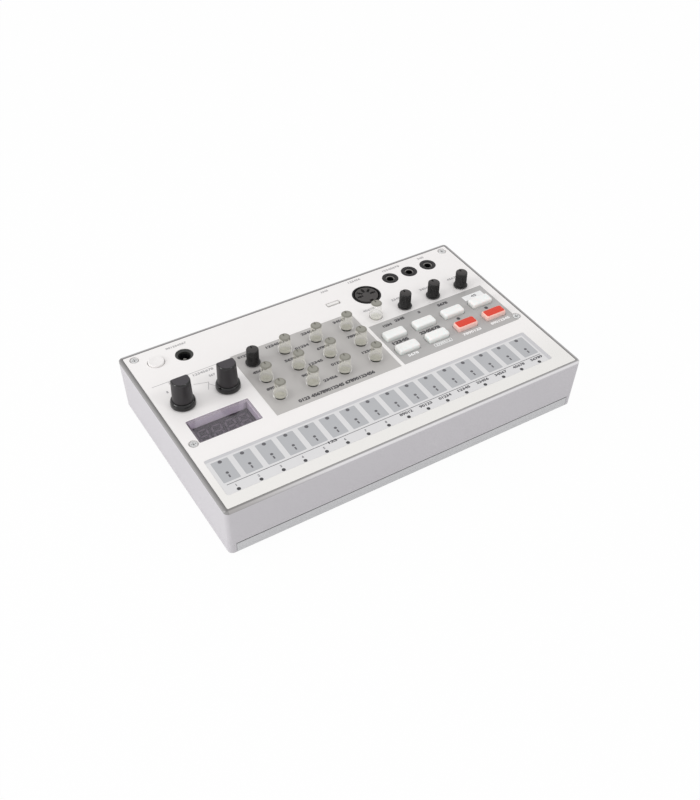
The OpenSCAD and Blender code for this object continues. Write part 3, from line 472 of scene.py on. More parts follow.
def fine_line(sheet, start, end, width=0.25):
    """A thin printed line from one point to another."""
    a, b = Vector(start), Vector(end)
    side = (b - a).orthogonal().normalized() * width / 2
    flat_mark(sheet, [tuple(p) for p in (a + side, b + side, b - side, a - side)])


def beside(name, right=0, back=0):
    """A point of the panel from the middle of a CAD node, in millimetres."""
    low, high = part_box(name)
    return (low.x + high.x) / 2 / MM + right, (low.y + high.y) / 2 / MM + back


def labelled(sheet, rows, weight=0.05):
    """Figures beside CAD nodes: rows of node, first figure, height, width and place."""
    for name, first, height, width, right, back in rows:
        figures(sheet, counting(first, width, height), height, *beside(name, right, back), width, weight)


panel_print, long_line_back = ([], []), 17.4
labelled(panel_print, (
    ("din_socket", 1, 1.4, 7.5, 0.7, 13.5), ("data_socket", 2, 1.3, 4.4, 1.1, 11.1),
    ("jack_left", 1, 1.4, 10.6, 4.8, 7.0), ("jack_right", 3, 1.4, 4.0, 0.0, 7.0),
    ("power_inlet", 9, 1.3, 11.0, -0.7, 8.1), ("clear_knob_4", 4, 1.5, 6.8, 0.0, 7.0),
    *(("small_knob_%d" % k, k, 1.5, 6.8, 0.0, 7.5) for k in (2, 3, 4)),
    ("large_knob_right", 1, 1.5, 10.6, -5.5, 15.6), ("large_knob_right", 5, 1.4, 3.3, -2.8, 11.5),
    ("large_knob_left", 1, 1.4, 0.9, -3.0, 11.0), ("large_knob_left", 2, 1.4, 1.1, 0.4, 16.2)))
for start, end in (((-13.3, 9.7), (-6.6, 7.7)), ((-6.4, 7.9), (-8.8, 2.9)), ((-6.8, 6.4), (-4.9, 3.7))):
    fine_line(panel_print, beside("large_knob_right", *start), beside("large_knob_right", *end))
line_start = beside("large_knob_left", -8.0, long_line_back)
fine_line(panel_print, line_start, (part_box("knob_field")[0].x / MM - 1.0, line_start[1]), 0.3)
printed("panel_print", panel_print, print_level, "print_pale", (176, 174, 175))


# Grey inlays
# Two thin grey plates let into the panel behind the clear knobs and the keys, printed
# with dark figures behind each knob and key and with white ones in front of the keys.
def dot(sheet, x, y, radius, sides=20):
    """A printed round dot."""
    turns = [math.tau * k / sides for k in range(sides)]
    flat_mark(sheet, [(x + radius * math.cos(turn), y + radius * math.sin(turn)) for turn in turns])


dress(moulded("inlay_grey", (190, 187, 185), 0.45, spread=0.03, relief=0.04), "knob_field")
dress(moulded("inlay_cool", (181, 179, 178), 0.45, spread=0.03, relief=0.04), "key_field")
inlay_print, tag_print, white_print = ([], []), ([], []), ([], [])
label_h, label_back, between_w, between_back = 1.6, 6.9, 7.5, -1.2
label_widths = (9.6, 13.8, 9.2, 7.4, 7.4, 7.8, 7.0, 7.4, 7.0, 4.4, 7.0, 7.0)
label_knobs = ["small_knob_1"] + ["clear_knob_%d" % k for k in (1, 2, 3, *range(5, 13))]
labelled(inlay_print, [(knob, first, label_h, width, 0, label_back)
                       for first, (knob, width) in enumerate(zip(label_knobs, label_widths))], 0.07)
for number, (left, right) in enumerate(zip(label_knobs[1::4], label_knobs[2::4])):
    x, y = beside(left, back=between_back)
    x = (x + beside(right)[0]) / 2
    figures(inlay_print, counting(number, between_w, label_h), label_h, x, y, between_w, 0.07)
heading_h, heading_inset, heading_front = 1.9, 5.5, 7.5
x, y = beside("clear_knob_9")
heading_left, heading_right = x + heading_inset, beside("clear_knob_12")[0] - heading_inset
figures(inlay_print, "0123 456789012345 67890123456", heading_h, (heading_left + heading_right) / 2,
        y - heading_front, heading_right - heading_left, 0.08)
labelled(inlay_print, (
    ("key_1", 1, 1.6, 5.2, 1.5, 8.8), ("key_1", 2, 1.7, 5.8, 9.3, 9.7), ("key_2", 3, 1.4, 1.6, 3.6, 9.4),
    ("key_3", 5, 1.7, 6.1, 0.3, 9.0), ("key_5", 1, 1.9, 9.4, 0.3, 6.5), ("key_6", 2, 1.9, 12.0, 0.2, 6.3)), 0.09)
for name in ("key_7", "key_8"):
    dot(inlay_print, *beside(name, 0.4, 6.5), 1.0)
tag_w, tag_d = 6.0, 1.9
x, y = beside("key_4", 0.5, 6.6)
bar(white_print, x - tag_w, y - tag_d, x + tag_w, y + tag_d)
figures(tag_print, "45", 1.5, x + 0.3, y + 0.1, 3.4)
labelled(white_print, (
    ("key_5", 5, 1.6, 6.1, 0.3, -4.8), ("key_7", 7, 1.6, 11.0, 0.3, -5.4), ("key_8", 8, 1.6, 11.6, 0.3, -5.4)), 0.07)
frame_w, frame_d = 5.1, 1.0
x, y = beside("key_6", 0.4, -5.1)
corners = [(x + a * frame_w, y + b * frame_d) for a, b in square]
for start, end in zip(corners, corners[1:] + corners[:1]):
    fine_line(white_print, start, end, 0.3)
figures(white_print, counting(6, 8.4, 1.3), 1.3, x, y, 8.4)
printed("inlay_print", inlay_print, print_level, "print_dark", (66, 64, 67))
printed("inlay_print_white", white_print, print_level, "print_white", (246, 246, 246))
printed("inlay_print_tag", tag_print, print_level + ink_t * MM, "print_tag", (120, 118, 120))


# Rim
# The smoke-grey frame that stands on the case wall round the panel, with a narrow
# chamfer. Light and shade are painted on it: dark along the panel as shade, a tone of its
# own for the left side and for the front, and the front face lighter towards its top.
rim_w, rim_chamfer = 1.8, 0.5
low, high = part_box("bezel")
rim_smoke, tree = new_finish("rim_smoke")
place = axes(tree)
insets = [reckon(tree, "SUBTRACT", reach, reckon(tree, "ABSOLUTE", place[axis]))
          for axis, reach in (("X", high.x), ("Y", high.y))]
inset = reckon(tree, "MINIMUM", *insets)
front, left = (reckon(tree, "LESS_THAN", place[axis], rim_w * MM - reach)
               for axis, reach in (("Y", high.y), ("X", high.x)))
# Painted shade: the rim darkens from its outer chamfer in towards the panel, sooner and less deeply along the front.
gentle, steep = (ramp(tree, inset, rim_chamfer * MM, end * MM, high=most)
                 for end, most in ((rim_w, 1.0), (0.65 * rim_w, 0.75)))
inner_shade = add(tree, "ShaderNodeMix", {0: front, 2: gentle, 3: steep}).outputs[0]
# Painted light and shade: the front face lighter towards its top and darker at its left end, the left side darker than
# the back and right.
upward = ramp(tree, place["Z"], high.z - 1.3 * MM, high.z - 0.6 * MM)
rightward = ramp(tree, place["X"], low.x + 5 * MM, low.x + 55 * MM)
front_light_and_shade = blend(tree, upward, (198, 195, 199), (230, 228, 230))
front_light_and_shade = blend(tree, rightward, (170, 167, 166), front_light_and_shade)
edge = blend(tree, left, blend(tree, front, (190, 188, 189), front_light_and_shade), (146, 144, 144))
skinned(tree, blend(tree, inner_shade, edge, (108, 106, 105)), 0.26, spread=0.06, relief=0.02)
dress(rim_smoke, "bezel")


# Touch strip
# A frosted film over sixteen sensing pads, flush with the panel. Each pad has a lamp dot
# and a mark, and in front of the pads stand a ruled line, figures and a row of dots.
sheet_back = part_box("touch_sheet")[1].y
low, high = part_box("touch_pads")
pad_count, pad_w = 16, 8.3
first_pad, last_pad = low.x / MM + pad_w / 2, high.x / MM - pad_w / 2
pad_pitch = (last_pad - first_pad) / (pad_count - 1)
pad_back, pad_front = high.y / MM, low.y / MM

touch_film, tree = new_finish("touch_film")
place = axes(tree)
over_back = ramp(tree, place["Y"], sheet_back - 1.9 * MM, sheet_back - 1.5 * MM)
over_right = ramp(tree, place["X"], high.x + 0.7 * MM, high.x + 1.1 * MM)
border = reckon(tree, "MAXIMUM", over_back, over_right)
frost = blend(tree, border, (222, 221, 222), (202, 201, 204))
skinned(tree, frost, 0.38, spread=0.03, grain=3200.0, relief=0.05)
dress(touch_film, "touch_sheet")
dress(moulded("touch_pad", (182, 183, 186), 0.36, spread=0.03, grain=3200.0, relief=0.05), "touch_pads")


def node_tree(name, lengths, **others):
    """An empty geometry tree and the sockets of its named inputs."""
    tree = bpy.data.node_groups.new(name, "GeometryNodeTree")
    tree.is_modifier = True
    tree.interface.new_socket("Geometry", in_out="OUTPUT", socket_type="NodeSocketGeometry")
    for label, kind in (dict.fromkeys(lengths, "Float") | others).items():
        tree.interface.new_socket(label, in_out="INPUT", socket_type="NodeSocket" + kind)
    return tree, add(tree, "NodeGroupInput").outputs


def vector(tree, **parts):
    """A vector from its X, Y and Z."""
    return add(tree, "ShaderNodeCombineXYZ", parts).outputs[0]


def oblong(tree, across, along):
    """A flat oblong with a point at each corner."""
    sizes = {"Size X": across, "Size Y": along, "Vertices X": 2, "Vertices Y": 2}
    return add(tree, "GeometryNodeMeshGrid", sizes)


def moved(tree, geometry, way):
    """A geometry moved by a vector."""
    return add(tree, "GeometryNodeTransform", {"Geometry": geometry.outputs[0], "Translation": way}).outputs[0]


def end_tree(tree, points, parts, given):
    """The closing nodes: the parts on each point, made real and given their material."""
    whole = add(tree, "GeometryNodeJoinGeometry")
    for part in parts:
        tree.links.new(part, whole.inputs[0])
    spread = add(tree, "GeometryNodeInstanceOnPoints", {"Points": points, "Instance": whole.outputs[0]})
    real = add(tree, "GeometryNodeRealizeInstances", {"Geometry": spread.outputs[0]})
    painted = add(tree, "GeometryNodeSetMaterial", {"Geometry": real.outputs[0], "Material": given["Material"]})
    add(tree, "NodeGroupOutput", {"Geometry": painted.outputs[0]})


def grown(name, tree, lengths, **others):
    """A plain mesh piece from a geometry tree, with its inputs set by name."""
    holder = placed(name, bpy.data.meshes.new(name))
    modifier = holder.modifiers.new(name, "NODES")
    modifier.node_group = tree
    for socket in tree.interface.items_tree:
        if socket.in_out == "INPUT":
            modifier[socket.identifier] = (lengths | others)[socket.name]
    mesh = as_mesh(holder)
    holder.modifiers.remove(modifier)
    holder.data = mesh
    mesh.name = name
    return holder


mark_lengths = ("Pitch", "Dot radius", "Bar width", "Bar length", "Bar offset")
tree, given = node_tree("mark_row", mark_lengths, Count="Int", First="Vector", Material="Material")
pitch = vector(tree, X=given["Pitch"])
row = add(tree, "GeometryNodeMeshLine", {
    "Count": given["Count"], "Start Location": given["First"], "Offset": pitch})
round_dot = add(tree, "GeometryNodeMeshCircle", {"Vertices": 20, "Radius": given["Dot radius"]}, fill_type="NGON")
short_bar = oblong(tree, given["Bar width"], given["Bar length"])
tail_bar = moved(tree, short_bar, vector(tree, Y=given["Bar offset"]))
end_tree(tree, row.outputs[0], (round_dot.outputs[0], tail_bar), given)

print_black = moulded("print_black", (58, 57, 60), 0.45)
print_middle = moulded("print_middle", (96, 95, 99), 0.45)
no_tail, tail_w = 0.02, 0.75
for name, y, radius, tail, ink in (
        ("pad_lamp_row", pad_back - 1.1, 0.95, no_tail, print_middle),
        ("pad_mark_row", pad_back - 8.4, 0.72, 1.7, print_middle),
        ("front_dot_row", pad_front - 5.8, 0.9, no_tail, print_black)):
    offset = -1.3 * tail if tail > no_tail else 0
    sizes = [size * MM for size in (pad_pitch, radius, min(tail_w, tail), tail, offset)]
    first = (first_pad * MM, y * MM, print_level)
    marks = grown(name, tree, dict(zip(mark_lengths, sizes)), Count=pad_count, First=first, Material=ink)
    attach(marks, "chassis")

strip_print, strip_figures = ([], []), ([], [])
rule, rule_w, name_w = pad_front - 1.35, 0.28, 7.0
fine_line(strip_print, (first_pad - 3.5, rule), (last_pad + 4.0, rule), rule_w)
for k in range(pad_count):
    x = first_pad + k * pad_pitch
    if k < pad_count // 2:
        figures(strip_figures, str(k + 1), 1.3, x, pad_front - 3.3)
    else:
        figures(strip_print, counting(k, name_w, 1.5), 1.5, x + 0.4, pad_front - 2.9, name_w, 0.06)
figures(strip_print, counting(1, 4.5, 1.4), 1.4, first_pad + 4.5 * pad_pitch, rule - 0.2, 4.5, 0.06)
printed("strip_print", strip_print, print_level, "print_rule", (88, 87, 91))
printed("strip_figures", strip_figures, print_level, "print_figure", (128, 127, 131))


# Sockets
# Along the back edge: a round five-pin socket, three jacks with a metal ring in the
# throat, a power inlet with a black collar and a flat data socket in a folded metal shell.
def ringed(name, centre, bands, roughness, metal_inside=None, reach=10):
    """Moulded black in (radius, colour) bands about an upright axis."""
    material, tree = new_finish(name)
    middle = {"Vector": spot(tree), "Location": (-centre[0] * MM, -centre[1] * MM, 0)}
    place = add(tree, "ShaderNodeMapping", middle).outputs[0]
    flat = add(tree, "ShaderNodeVectorMath", {0: place, 1: (1, 1, 0)}, operation="MULTIPLY").outputs[0]
    away = add(tree, "ShaderNodeVectorMath", {0: flat}, operation="LENGTH").outputs["Value"]
    steps = add(tree, "ShaderNodeValToRGB", {0: ramp(tree, away, 0.0, reach * MM)})
    stops = steps.color_ramp.elements
    steps.color_ramp.interpolation = "CONSTANT"
    for stop, (radius, colour) in zip(stops, bands):
        stop.position, stop.color = radius / reach, tint(colour)
    metal = {}
    if metal_inside:
        metal["Metallic"] = reckon(tree, "LESS_THAN", away, metal_inside * MM)
    skinned(tree, steps.outputs[0], roughness, spread=0.1, Specular_IOR_Level=0.2, **metal)
    return material


def rounded(width, depth, radius, steps=6):
    """Points of a rounded rectangle about the origin, anticlockwise."""
    points = []
    for k, (sx, sy) in enumerate(((1, 1), (-1, 1), (-1, -1), (1, -1))):
        for s in range(steps + 1):
            angle = math.radians(90 * (k + s / steps))
            points.append((sx * (width / 2 - radius) + radius * math.cos(angle),
                           sy * (depth / 2 - radius) + radius * math.sin(angle)))
    return points


def stacked(levels, x, y):
    """Rings over a point of the panel, from (outline, height) levels in millimetres."""
    return [[((x + a) * MM, (y + b) * MM, face + z * MM) for a, b in outline] for outline, z in levels]


def measured(name):
    """The radius of a CAD node, and its foot and top over the panel, in millimetres."""
    low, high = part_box(name)
    return (high.x - low.x) / 2 / MM, (low.z - face) / MM, (high.z - face) / MM


def at_face(x, y):
    """A point of the panel's face, in metres."""
    return x * MM, y * MM, face


socket_middle, din_black_and_hole_shade = beside("din_socket"), (16, 15, 16)
dress(ringed("din_black", socket_middle, ((0, (74, 71, 70)), (6.05, din_black_and_hole_shade)), 0.42), "din_socket")
# Painted shade: near-black flat marks over the pin holes stand in for the shade inside them.
pin_circle, slot_w, pin_hole_shade = 3.75, 1.3, ([], [])
for pin in range(5):
    out = Vector((math.cos(math.radians(45 * pin)), math.sin(math.radians(45 * pin))))
    for ends in ((-1.6, -0.85), (0.85, 1.5)):
        fine_line(pin_hole_shade, *(Vector(socket_middle) + out * (pin_circle + end) for end in ends), slot_w)
hole_shade_marks = printed("pin_hole_shade", pin_hole_shade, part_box("din_socket")[1].z + ink_t * MM, "hole_shade_black", din_black_and_hole_shade,
                Specular_IOR_Level=0.1)

dress(plated("socket_shell", (205, 205, 206), 0.4), "data_socket")
tongue_w, tongue_d, tongue_corner = 6.9, 1.8, 0.3
tongue_levels = (measured("data_socket")[2] - 0.3, -0.45, -0.3)
tongue_outline = rounded(tongue_w, tongue_d, tongue_corner)
tongue = stacked([(tongue_outline, level) for level in tongue_levels], *beside("data_socket", 0, 0.5))
data_tongue = lofted("data_tongue", [tongue], moulded("tongue_white", (240, 238, 236), 0.45))
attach(data_tongue, "chassis")

inlet_middle, pin_r, collar_r, collar_deep = beside("power_inlet"), 1.2, 4.4, -2.0
inlet_bands = ((0, (150, 147, 142)), (pin_r, (30, 29, 30)))
dress(ringed("inlet_black", inlet_middle, inlet_bands, 0.42, metal_inside=pin_r), "power_inlet")
collar_side = [(collar_r, collar_deep), (collar_r, -0.15), (collar_r - 0.15, -0.08), (3.1, -0.8), (3.0, collar_deep)]
collar_ring = turned(collar_side, at_face(*inlet_middle), 56)
inlet_collar = lofted("inlet_collar", [collar_ring], moulded("collar_black", (40, 40, 38), 0.4), hoop=True)
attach(inlet_collar, "chassis")

throat_side = [(1.84, -0.57), (2.30, -0.27), (2.34, -0.2), (2.26, -0.17), (1.83, -0.46)]
jack_bands, throats = ((0, (24, 23, 24)), (2.7, (42, 40, 41))), []
for name in ("jack_left", "jack_middle", "jack_right"):
    dress(ringed("black_" + name, beside(name), jack_bands, 0.36), name)
    throats.append(turned(throat_side, at_face(*beside(name)), 48))
jack_throats = lofted("jack_throats", throats, plated("throat_metal", (128, 126, 123), 0.26), hoop=True)
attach(jack_throats, "chassis")


# Power button
# A white moulded button at the left of the back edge, with a faint dish in its top. It
# goes down on a switch and a flange keeps it behind the panel.
flange, stem_r, flange_low, flange_high = 0.8, 1.6, -2.7, -1.95
flange_r, seat, top = measured("power_button")
button_r = flange_r - flange
button_side = [(1.0, seat), (stem_r, seat), (stem_r, flange_low), (flange_r, flange_low), (flange_r, flange_high),
               (button_r, flange_high), (button_r, top - 0.2), (button_r - 0.45, top), (button_r - 0.8, top - 0.04),
               (1.8, top - 0.13), (0.5, top - 0.16)]
button_rings = turned(eased(button_side, 0.25), at_face(*beside("power_button")), 72)
power_cap = lofted("power_cap", [button_rings], moulded("button_white", (242, 239, 238), 0.42))
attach(power_cap, "power_button_body")
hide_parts("power_button")


# Keys
# Eight translucent silicone keys with soft pillow tops, moulded with a flange behind the
# panel and a plunger, their colour painted darker towards the panel as shade. The last two
# have a red face let into the top, and are painted pink as its light scattered through them.
def silicone(name, foot, crown, crown_h):
    """Translucent silicone whose colour deepens from its crown down to the panel, as painted shade."""
    material, tree = new_finish(name)
    rise = ramp(tree, axes(tree)["Z"], face, face + crown_h * MM)
    skinned(tree, blend(tree, rise, foot, crown), 0.5, spread=0.03, Subsurface_Weight=0.3,
            Subsurface_Radius=(1.0, 0.8, 0.8), Subsurface_Scale=0.0010)
    return material


def scaled(outline, share):
    """An outline drawn in towards its middle."""
    return [(a * share, b * share) for a, b in outline]


def faced(piece, material, height):
    """The faces of a piece above a height over the panel take another material."""
    piece.data.materials.append(material)
    for polygon in piece.data.polygons:
        if polygon.center.z > face + height * MM:
            polygon.material_index = len(piece.data.materials) - 1


low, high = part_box("key_1")
key_w, key_d, key_h = (high.x - low.x) / MM - 2 * flange, (high.y - low.y) / MM - 2 * flange, (high.z - face) / MM
corner, shoulder, shoulder_steps, crown_rise, red_t = 0.95, 0.85, 7, 0.12, 0.2
flange_low, flange_high = -2.7, -1.9
key_white = silicone("key_white", (218, 221, 218), (249, 249, 247), key_h * 0.8)
# Painted light: the pink of the last two keys stands for the red face's light scattered through them.
key_blush = silicone("key_blush", (240, 212, 206), (255, 202, 190), key_h * 0.9)
key_red = moulded("key_red", (223, 58, 33), 0.46)
block = rounded(key_w, key_d, corner)
stem = [(stem_r * a / math.hypot(a, b), stem_r * b / math.hypot(a, b)) for a, b in block]
skirt = rounded(key_w + 2 * flange, key_d + 2 * flange, corner)
key_levels = [(stem, flange_low), (skirt, flange_low), (skirt, flange_high), (block, flange_high), (block, 0.0)]
for k in range(shoulder_steps + 1):
    t = math.radians(90 * k / shoulder_steps)
    inset = shoulder * (1 - math.cos(t)) + 0.05
    crown = rounded(key_w - 2 * inset, key_d - 2 * inset, corner)
    key_levels.append((crown, key_h - crown_rise - shoulder + shoulder * math.sin(t)))
key_levels += [(scaled(crown, share), key_h - crown_rise * share ** 2) for share in (0.84, 0.68, 0.52, 0.36, 0.2, 0.04)]
for number in range(1, 9):
    name = "key_%d" % number
    rings = stacked([(stem, measured(name)[1])] + key_levels, *beside(name))
    cap = lofted("cap_" + name, [rings], key_blush if number > 6 else key_white, crease=60)
    if number > 6:
        faced(cap, key_red, key_h - red_t)
    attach(cap, name + "_body")
    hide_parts(name)


# Clear knobs
# Twelve knobs moulded in clear plastic on pale shafts, with a thick foot, a thin neck and
# a frosted cap grooved for a pointer. A lamp under each one shines up through it. What the
# clear plastic shows of light and shade is painted: outlines white as reflection on the grey
# inlay and dark as shade on the white panel, a dark ring at the foot as shade, and the cap
# grey, darker at its rim and in the groove, as shade seen through it.
groove_w, groove_t = 0.7, 0.4


def grooved(piece, centre, radius, finish):
    """A pointer groove in the top of a knob, from near its middle to the back."""
    (x, y), top = centre, max(v.co.z for v in piece.data.vertices) / MM
    xs, ys = (x - groove_w / 2, x + groove_w / 2), (y + radius * 0.2, y + (radius + 0.5))
    corners = [(a * MM, b * MM, c * MM) for a in xs for b in ys for c in (top - groove_t, top + 1)]
    sides = [(0, 1, 3, 2), (4, 6, 7, 5), (0, 4, 5, 1), (2, 3, 7, 6), (0, 2, 6, 4), (1, 5, 7, 3)]
    mesh = meshed("groove", corners, sides, piece.data.materials)
    mesh.polygons.foreach_set("material_index", [finish] * len(mesh.polygons))
    cutter = placed("groove", mesh)
    cut = piece.modifiers.new("groove", "BOOLEAN")
    cut.object, cut.operation, cut.solver = cutter, "DIFFERENCE", "EXACT"
    result = as_mesh(piece)
    piece.modifiers.remove(cut)
    result.name, piece.data = piece.name, result
    bpy.data.objects.remove(cutter)
    bpy.data.meshes.remove(mesh)


def misty(name, middle, edge):
    """A wall of clear plastic, from a (colour, veil) seen face on to another along its outline."""
    material, tree = new_finish(name)
    facing = add(tree, "ShaderNodeLayerWeight", {"Blend": 0.5}).outputs["Facing"]
    turn = ramp(tree, facing, 0.40, 0.68)
    veil = ramp(tree, turn, low=middle[1], high=edge[1])
    outside = reckon(tree, "SUBTRACT", 1.0, add(tree, "ShaderNodeNewGeometry").outputs["Backfacing"])
    strength = reckon(tree, "MULTIPLY", veil, outside)
    skinned(tree, blend(tree, turn, middle[0], edge[0]), 0.2, spread=0.04, relief=0.02, Alpha=strength)
    return material


clear_foot_r, shaft_end, clear_h = measured("clear_knob_1")
clear_foot_h, clear_top_r, cap_t, cap_middle_r, core = 2.5, 2.75, 1.2, 2.0, 0.4
knob_lift, shaft_r, ring_h, disc_r, disc_gap = 0.4, 2.0, 1.45, 2.7, 0.08
disc_top, foot_low, neck_r, cap_low = knob_lift + 0.1, knob_lift + 0.15, clear_top_r + 0.03, clear_h - cap_t
# Painted shade: the cap's top is grey for the shade seen down through the clear plastic, darker along its rim and in
# the groove.
clear_cap_shade = moulded("clear_cap_shade", (148, 146, 137), 0.5, spread=0.06)
clear_rim_shade = moulded("clear_rim_shade", (130, 128, 119), 0.4, spread=0.06)
# Painted light: on the grey inlay the outlines are painted white as reflection and the foot's lower band dark as shade;
# on the white panel the outlines and that band are painted dark as shade.
on_grey = (
    misty("knob_clear", ((232, 229, 213), 0.10), ((255, 255, 252), 0.95)),
    misty("foot_shade_ring", ((14, 13, 11), 1.0), ((255, 255, 252), 0.9)),
    misty("knob_neck", ((236, 233, 216), 0.15), ((236, 233, 216), 0.30)),
    moulded("disc_grey", (192, 190, 181), 0.45, spread=0.06))
on_white = (
    misty("knob_clear_pale", ((246, 245, 238), 0.10), ((122, 120, 113), 0.85)),
    misty("foot_shade_ring_pale", ((150, 148, 140), 0.6), ((60, 58, 54), 0.9)),
    misty("knob_neck_pale", ((246, 245, 238), 0.15), ((232, 230, 222), 0.30)),
    moulded("disc_white", (244, 242, 235), 0.45, spread=0.06))
shaft_side = [(core, shaft_end), (shaft_r, shaft_end), (shaft_r, disc_gap), (disc_r, disc_gap), (disc_r, disc_top),
              (core, disc_top)]
foot_side = eased([(core, foot_low), (clear_foot_r, foot_low), (clear_foot_r, ring_h),
                   (clear_foot_r, clear_foot_h - 0.4), (clear_top_r + 0.25, clear_foot_h), (core, clear_foot_h)], 0.2)
neck_side = [(clear_top_r - 0.4, clear_foot_h + 0.05), (clear_top_r + 0.24, clear_foot_h + 0.05),
             (neck_r, cap_low), (clear_top_r - 0.4, cap_low)]
cap_side = eased([(core, cap_low + 0.05), (neck_r, cap_low + 0.05), (clear_top_r, clear_h - 0.3),
                  (clear_top_r - 0.3, clear_h), (2.1, clear_h), (core, clear_h)], 0.15)
disc_slot, wall_slot, cap_shade_slot, rim_shade_slot, shade_ring_slot = range(1, 6)
for number in range(1, 13):
    name = "clear_knob_%d" % number
    x, y = beside(name)
    centre = at_face(x, y)
    foot, ring, wall, disc = on_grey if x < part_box("knob_field")[1].x / MM else on_white
    knob = lofted("turned_" + name, [turned(side, centre, 56) for side in (shaft_side, foot_side, cap_side)], foot)
    for material in (disc, wall, clear_cap_shade, clear_rim_shade, ring):
        knob.data.materials.append(material)
    for polygon in knob.data.polygons:
        height = polygon.center.z - face
        away = math.hypot(polygon.center.x - centre[0], polygon.center.y - centre[1])
        if height < (disc_top + 0.02) * MM:
            polygon.material_index = disc_slot
        elif height < ring_h * MM and away > (clear_foot_r - 0.3) * MM:
            polygon.material_index = shade_ring_slot
        elif height > (clear_h - 0.02) * MM:
            polygon.material_index = cap_shade_slot if away < cap_middle_r * MM else rim_shade_slot
        elif height > cap_low * MM:
            polygon.material_index = rim_shade_slot if height > (clear_h - 0.35) * MM else wall_slot
    grooved(knob, (x, y), clear_top_r, rim_shade_slot)
    neck = lofted("neck_" + name, [turned(neck_side, centre, 56)], wall, hoop=True)
    for piece in (knob, neck):
        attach(piece, name + "_body")
    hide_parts(name)


# Small knobs
# Four black knobs with fine grip ribs and a foot flange, in one piece with their shafts,
# with a pointer groove across the top.
small_foot_r, _, small_h = measured("small_knob_1")
small_foot_h, small_r, ribs, rib_t = 1.1, 2.95, 24, 0.13
knob_black = moulded("knob_black", (18, 17, 17), 0.26, spread=0.1)
# The top is matt, and it is also painted lighter than the sides as a highlight.
small_top_lit = moulded("small_top_lit", (43, 39, 38), 0.42, spread=0.06)


def ribbed(radius, height, angle):
    """Radius with shallow ribs on the grip of a small knob."""
    if small_foot_h + 0.4 < height < small_h - 0.55 and radius > small_r * 0.9:
        return radius - rib_t + rib_t * math.cos(ribs * angle)
    return radius


small_side = [(0.6, shaft_end), (shaft_r, shaft_end), (shaft_r, knob_lift), (small_foot_r - 0.15, knob_lift),
              (small_foot_r, knob_lift + 0.12), (small_foot_r, small_foot_h - 0.2),
              (small_foot_r - 0.12, small_foot_h - 0.08), (small_r + 0.12, small_foot_h),
              (small_r + 0.1, small_foot_h + 0.15)]
small_side += [(small_r + 0.1, small_foot_h + 0.5 + (small_h - 1.1 - small_foot_h) * k / 4) for k in range(5)]
small_side += [(small_r + 0.03, small_h - 0.3), (small_r - 0.12, small_h - 0.1), (small_r - 0.32, small_h),
               (core, small_h)]
for number in range(1, 5):
    name = "small_knob_%d" % number
    place = beside(name)
    knob = lofted("ribbed_" + name, [turned(small_side, at_face(*place), 144, ribbed)], knob_black)
    faced(knob, small_top_lit, small_h - 0.05)
    grooved(knob, place, small_r, 0)
    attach(knob, name + "_body")
    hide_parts(name)


# Large knobs
# Two tall black knobs with a glossy bell skirt and a matt tapered grip that is round in
# front and flat at the back. They are bored and pushed on steel shafts.
def grip_outline(radius, flat, corner, steps=6):
    """A grip from above, anticlockwise: round in front, straight sides, flat back."""
    points = [(radius, (flat - corner) * k / 4) for k in range(4)]
    for side, first in ((1, 0), (-1, 90)):
        for s in range(steps + 1):
            angle = math.radians(first + 90 * s / steps)
            points.append((side * (radius - corner) + corner * math.cos(angle),
                           flat - corner + corner * math.sin(angle)))
        if side > 0:
            points += [((radius - corner) * (1 - k / 5), flat) for k in range(1, 10)]
    points += [(-radius, (flat - corner) * (1 - k / 4)) for k in range(1, 4)]
    turns = [math.pi * (1 + k / 48) for k in range(48)]
    return points + [(radius * math.cos(turn), radius * math.sin(turn)) for turn in turns]


large_r, _, large_h = measured("large_knob_left")
large_shaft_r, _, shaft_top = measured("large_shaft_left")
bore_r, bore_top = large_shaft_r + 0.05, shaft_top + 0.2
waist_h, skirt_h, waist_r, shelf_w, skirt_steps, grip_steps = 3.5, 1.2, 4.9, 0.25, 8, 12
tip_r, tip_flat, chamfer = 4.4, 2.5, 0.5
knob_gloss = moulded("knob_gloss", (12, 11, 12), 0.14, spread=0.1, relief=0.01)
knob_grip = moulded("knob_grip", (39, 36, 38), 0.46, spread=0.08)
knob_cap = moulded("knob_cap", (53, 49, 54), 0.46, spread=0.06)
tip = grip_outline(tip_r, tip_flat, 0.9)
crown = grip_outline(tip_r - chamfer, tip_flat - chamfer, 0.6)
ways = [(math.cos(turn), math.sin(turn)) for turn in (math.atan2(b, a) for a, b in tip)]
skirt = [(0.5, bore_top), (bore_r, bore_top), (bore_r, knob_lift), (large_r - 0.15, knob_lift),
         (large_r, knob_lift + 0.15), (large_r, skirt_h)]
for k in range(1, skirt_steps + 1):
    t = math.radians(90 * k / skirt_steps)
    skirt.append((waist_r + shelf_w + (large_r - waist_r - shelf_w) * math.cos(t),
                  skirt_h + (waist_h - skirt_h) * math.sin(t)))
knob_levels = [(scaled(ways, radius), height) for radius, height in skirt]
waist = scaled(ways, waist_r)


def midway(first, second, share):
    """An outline on the way from one outline to another."""
    return [((1 - share) * a + share * c, (1 - share) * b + share * d) for (a, b), (c, d) in zip(first, second)]


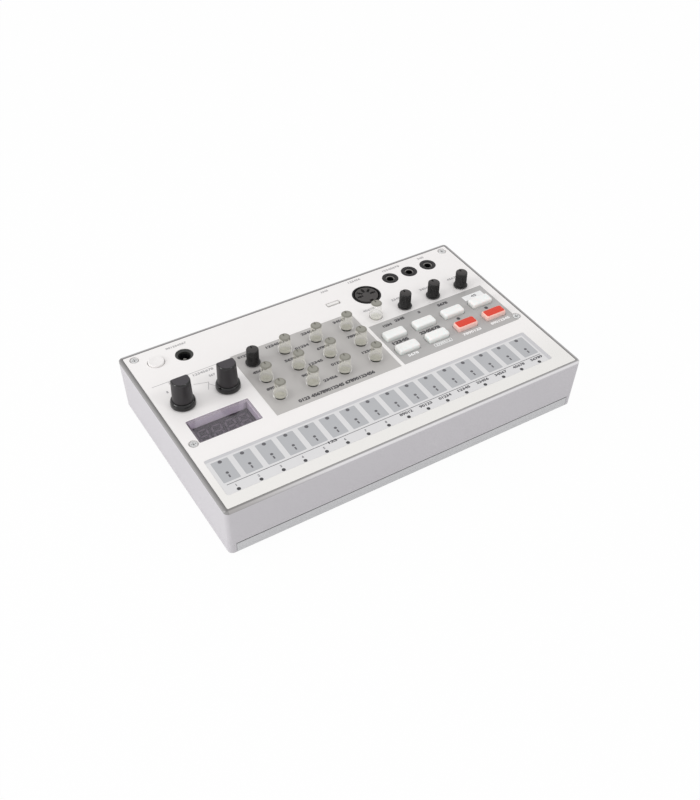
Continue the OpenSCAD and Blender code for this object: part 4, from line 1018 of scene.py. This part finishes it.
for k in range(grip_steps + 1):
    share = k / grip_steps
    knob_levels.append((midway(waist, tip, share), waist_h + (large_h - chamfer - waist_h) * share))
for share, rise in ((0.35, 0.48), (0.7, 0.84), (1.0, 1.0)):
    knob_levels.append((midway(tip, crown, share), large_h - chamfer + rise * chamfer))
knob_levels += [(scaled(crown, share), large_h) for share in (0.9, 0.5)]
grip_faces = range(len(skirt) * len(ways), (len(skirt) + grip_steps) * len(ways))
for side in ("left", "right"):
    name = "large_knob_" + side
    knob = lofted("grip_" + name, [stacked(knob_levels, *beside(name))], knob_gloss, crease=50)
    knob.data.materials.append(knob_grip)
    for k in grip_faces:
        knob.data.polygons[k].material_index = 1
    faced(knob, knob_cap, large_h - 0.02)
    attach(knob, "large_dial_" + side)
    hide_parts(name)


# Panel screws
# Four pan-head steel screws with a cross recess, sunk in the panel, that hold it on the
# columns of the case.
low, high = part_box("panel_screws")
head_r, head_h = 2.2 * MM, 0.8 * MM
screw = {"Span across": high.x - low.x - 2 * head_r, "Span along": high.y - low.y - 2 * head_r,
         "Head radius": head_r, "Crown radius": 1.75 * MM, "Head height": head_h, "Recess length": 2.5 * MM,
         "Recess width": 0.62 * MM, "Shank radius": 1.2 * MM, "Shank length": high.z - low.z - head_h}
tree, given = node_tree("screw_set", screw, Middle="Vector", Material="Material")
seats = moved(tree, oblong(tree, given["Span across"], given["Span along"]), given["Middle"])
head = add(tree, "GeometryNodeMeshCone", {
    "Vertices": 40, "Radius Top": given["Crown radius"], "Radius Bottom": given["Head radius"],
    "Depth": given["Head height"]})
recess = add(tree, "GeometryNodeMeshBoolean", {"Mesh 1": head.outputs[0]}, operation="DIFFERENCE")
for across, along in (("length", "width"), ("width", "length")):
    arm = vector(tree, X=given["Recess " + across], Y=given["Recess " + along], Z=given["Head height"])
    block = add(tree, "GeometryNodeMeshCube", {"Size": arm})
    lifted = moved(tree, block, vector(tree, Z=given["Head height"]))
    tree.links.new(lifted, recess.inputs["Mesh 2"])
shank = add(tree, "GeometryNodeMeshCylinder", {
    "Vertices": 24, "Radius": given["Shank radius"], "Depth": given["Shank length"]})
half_down = reckon(tree, "MULTIPLY", given["Shank length"], -0.5)
hung = moved(tree, shank, vector(tree, Z=half_down))
end_tree(tree, seats, (recess.outputs[0], hung), given)
middle = (low + high) / 2
seat = (middle.x, middle.y, high.z - head_h)
cross_screws = grown("cross_screws", tree, screw, Middle=seat, Material=screw_steel)
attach(cross_screws, "chassis")
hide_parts("panel_screws")
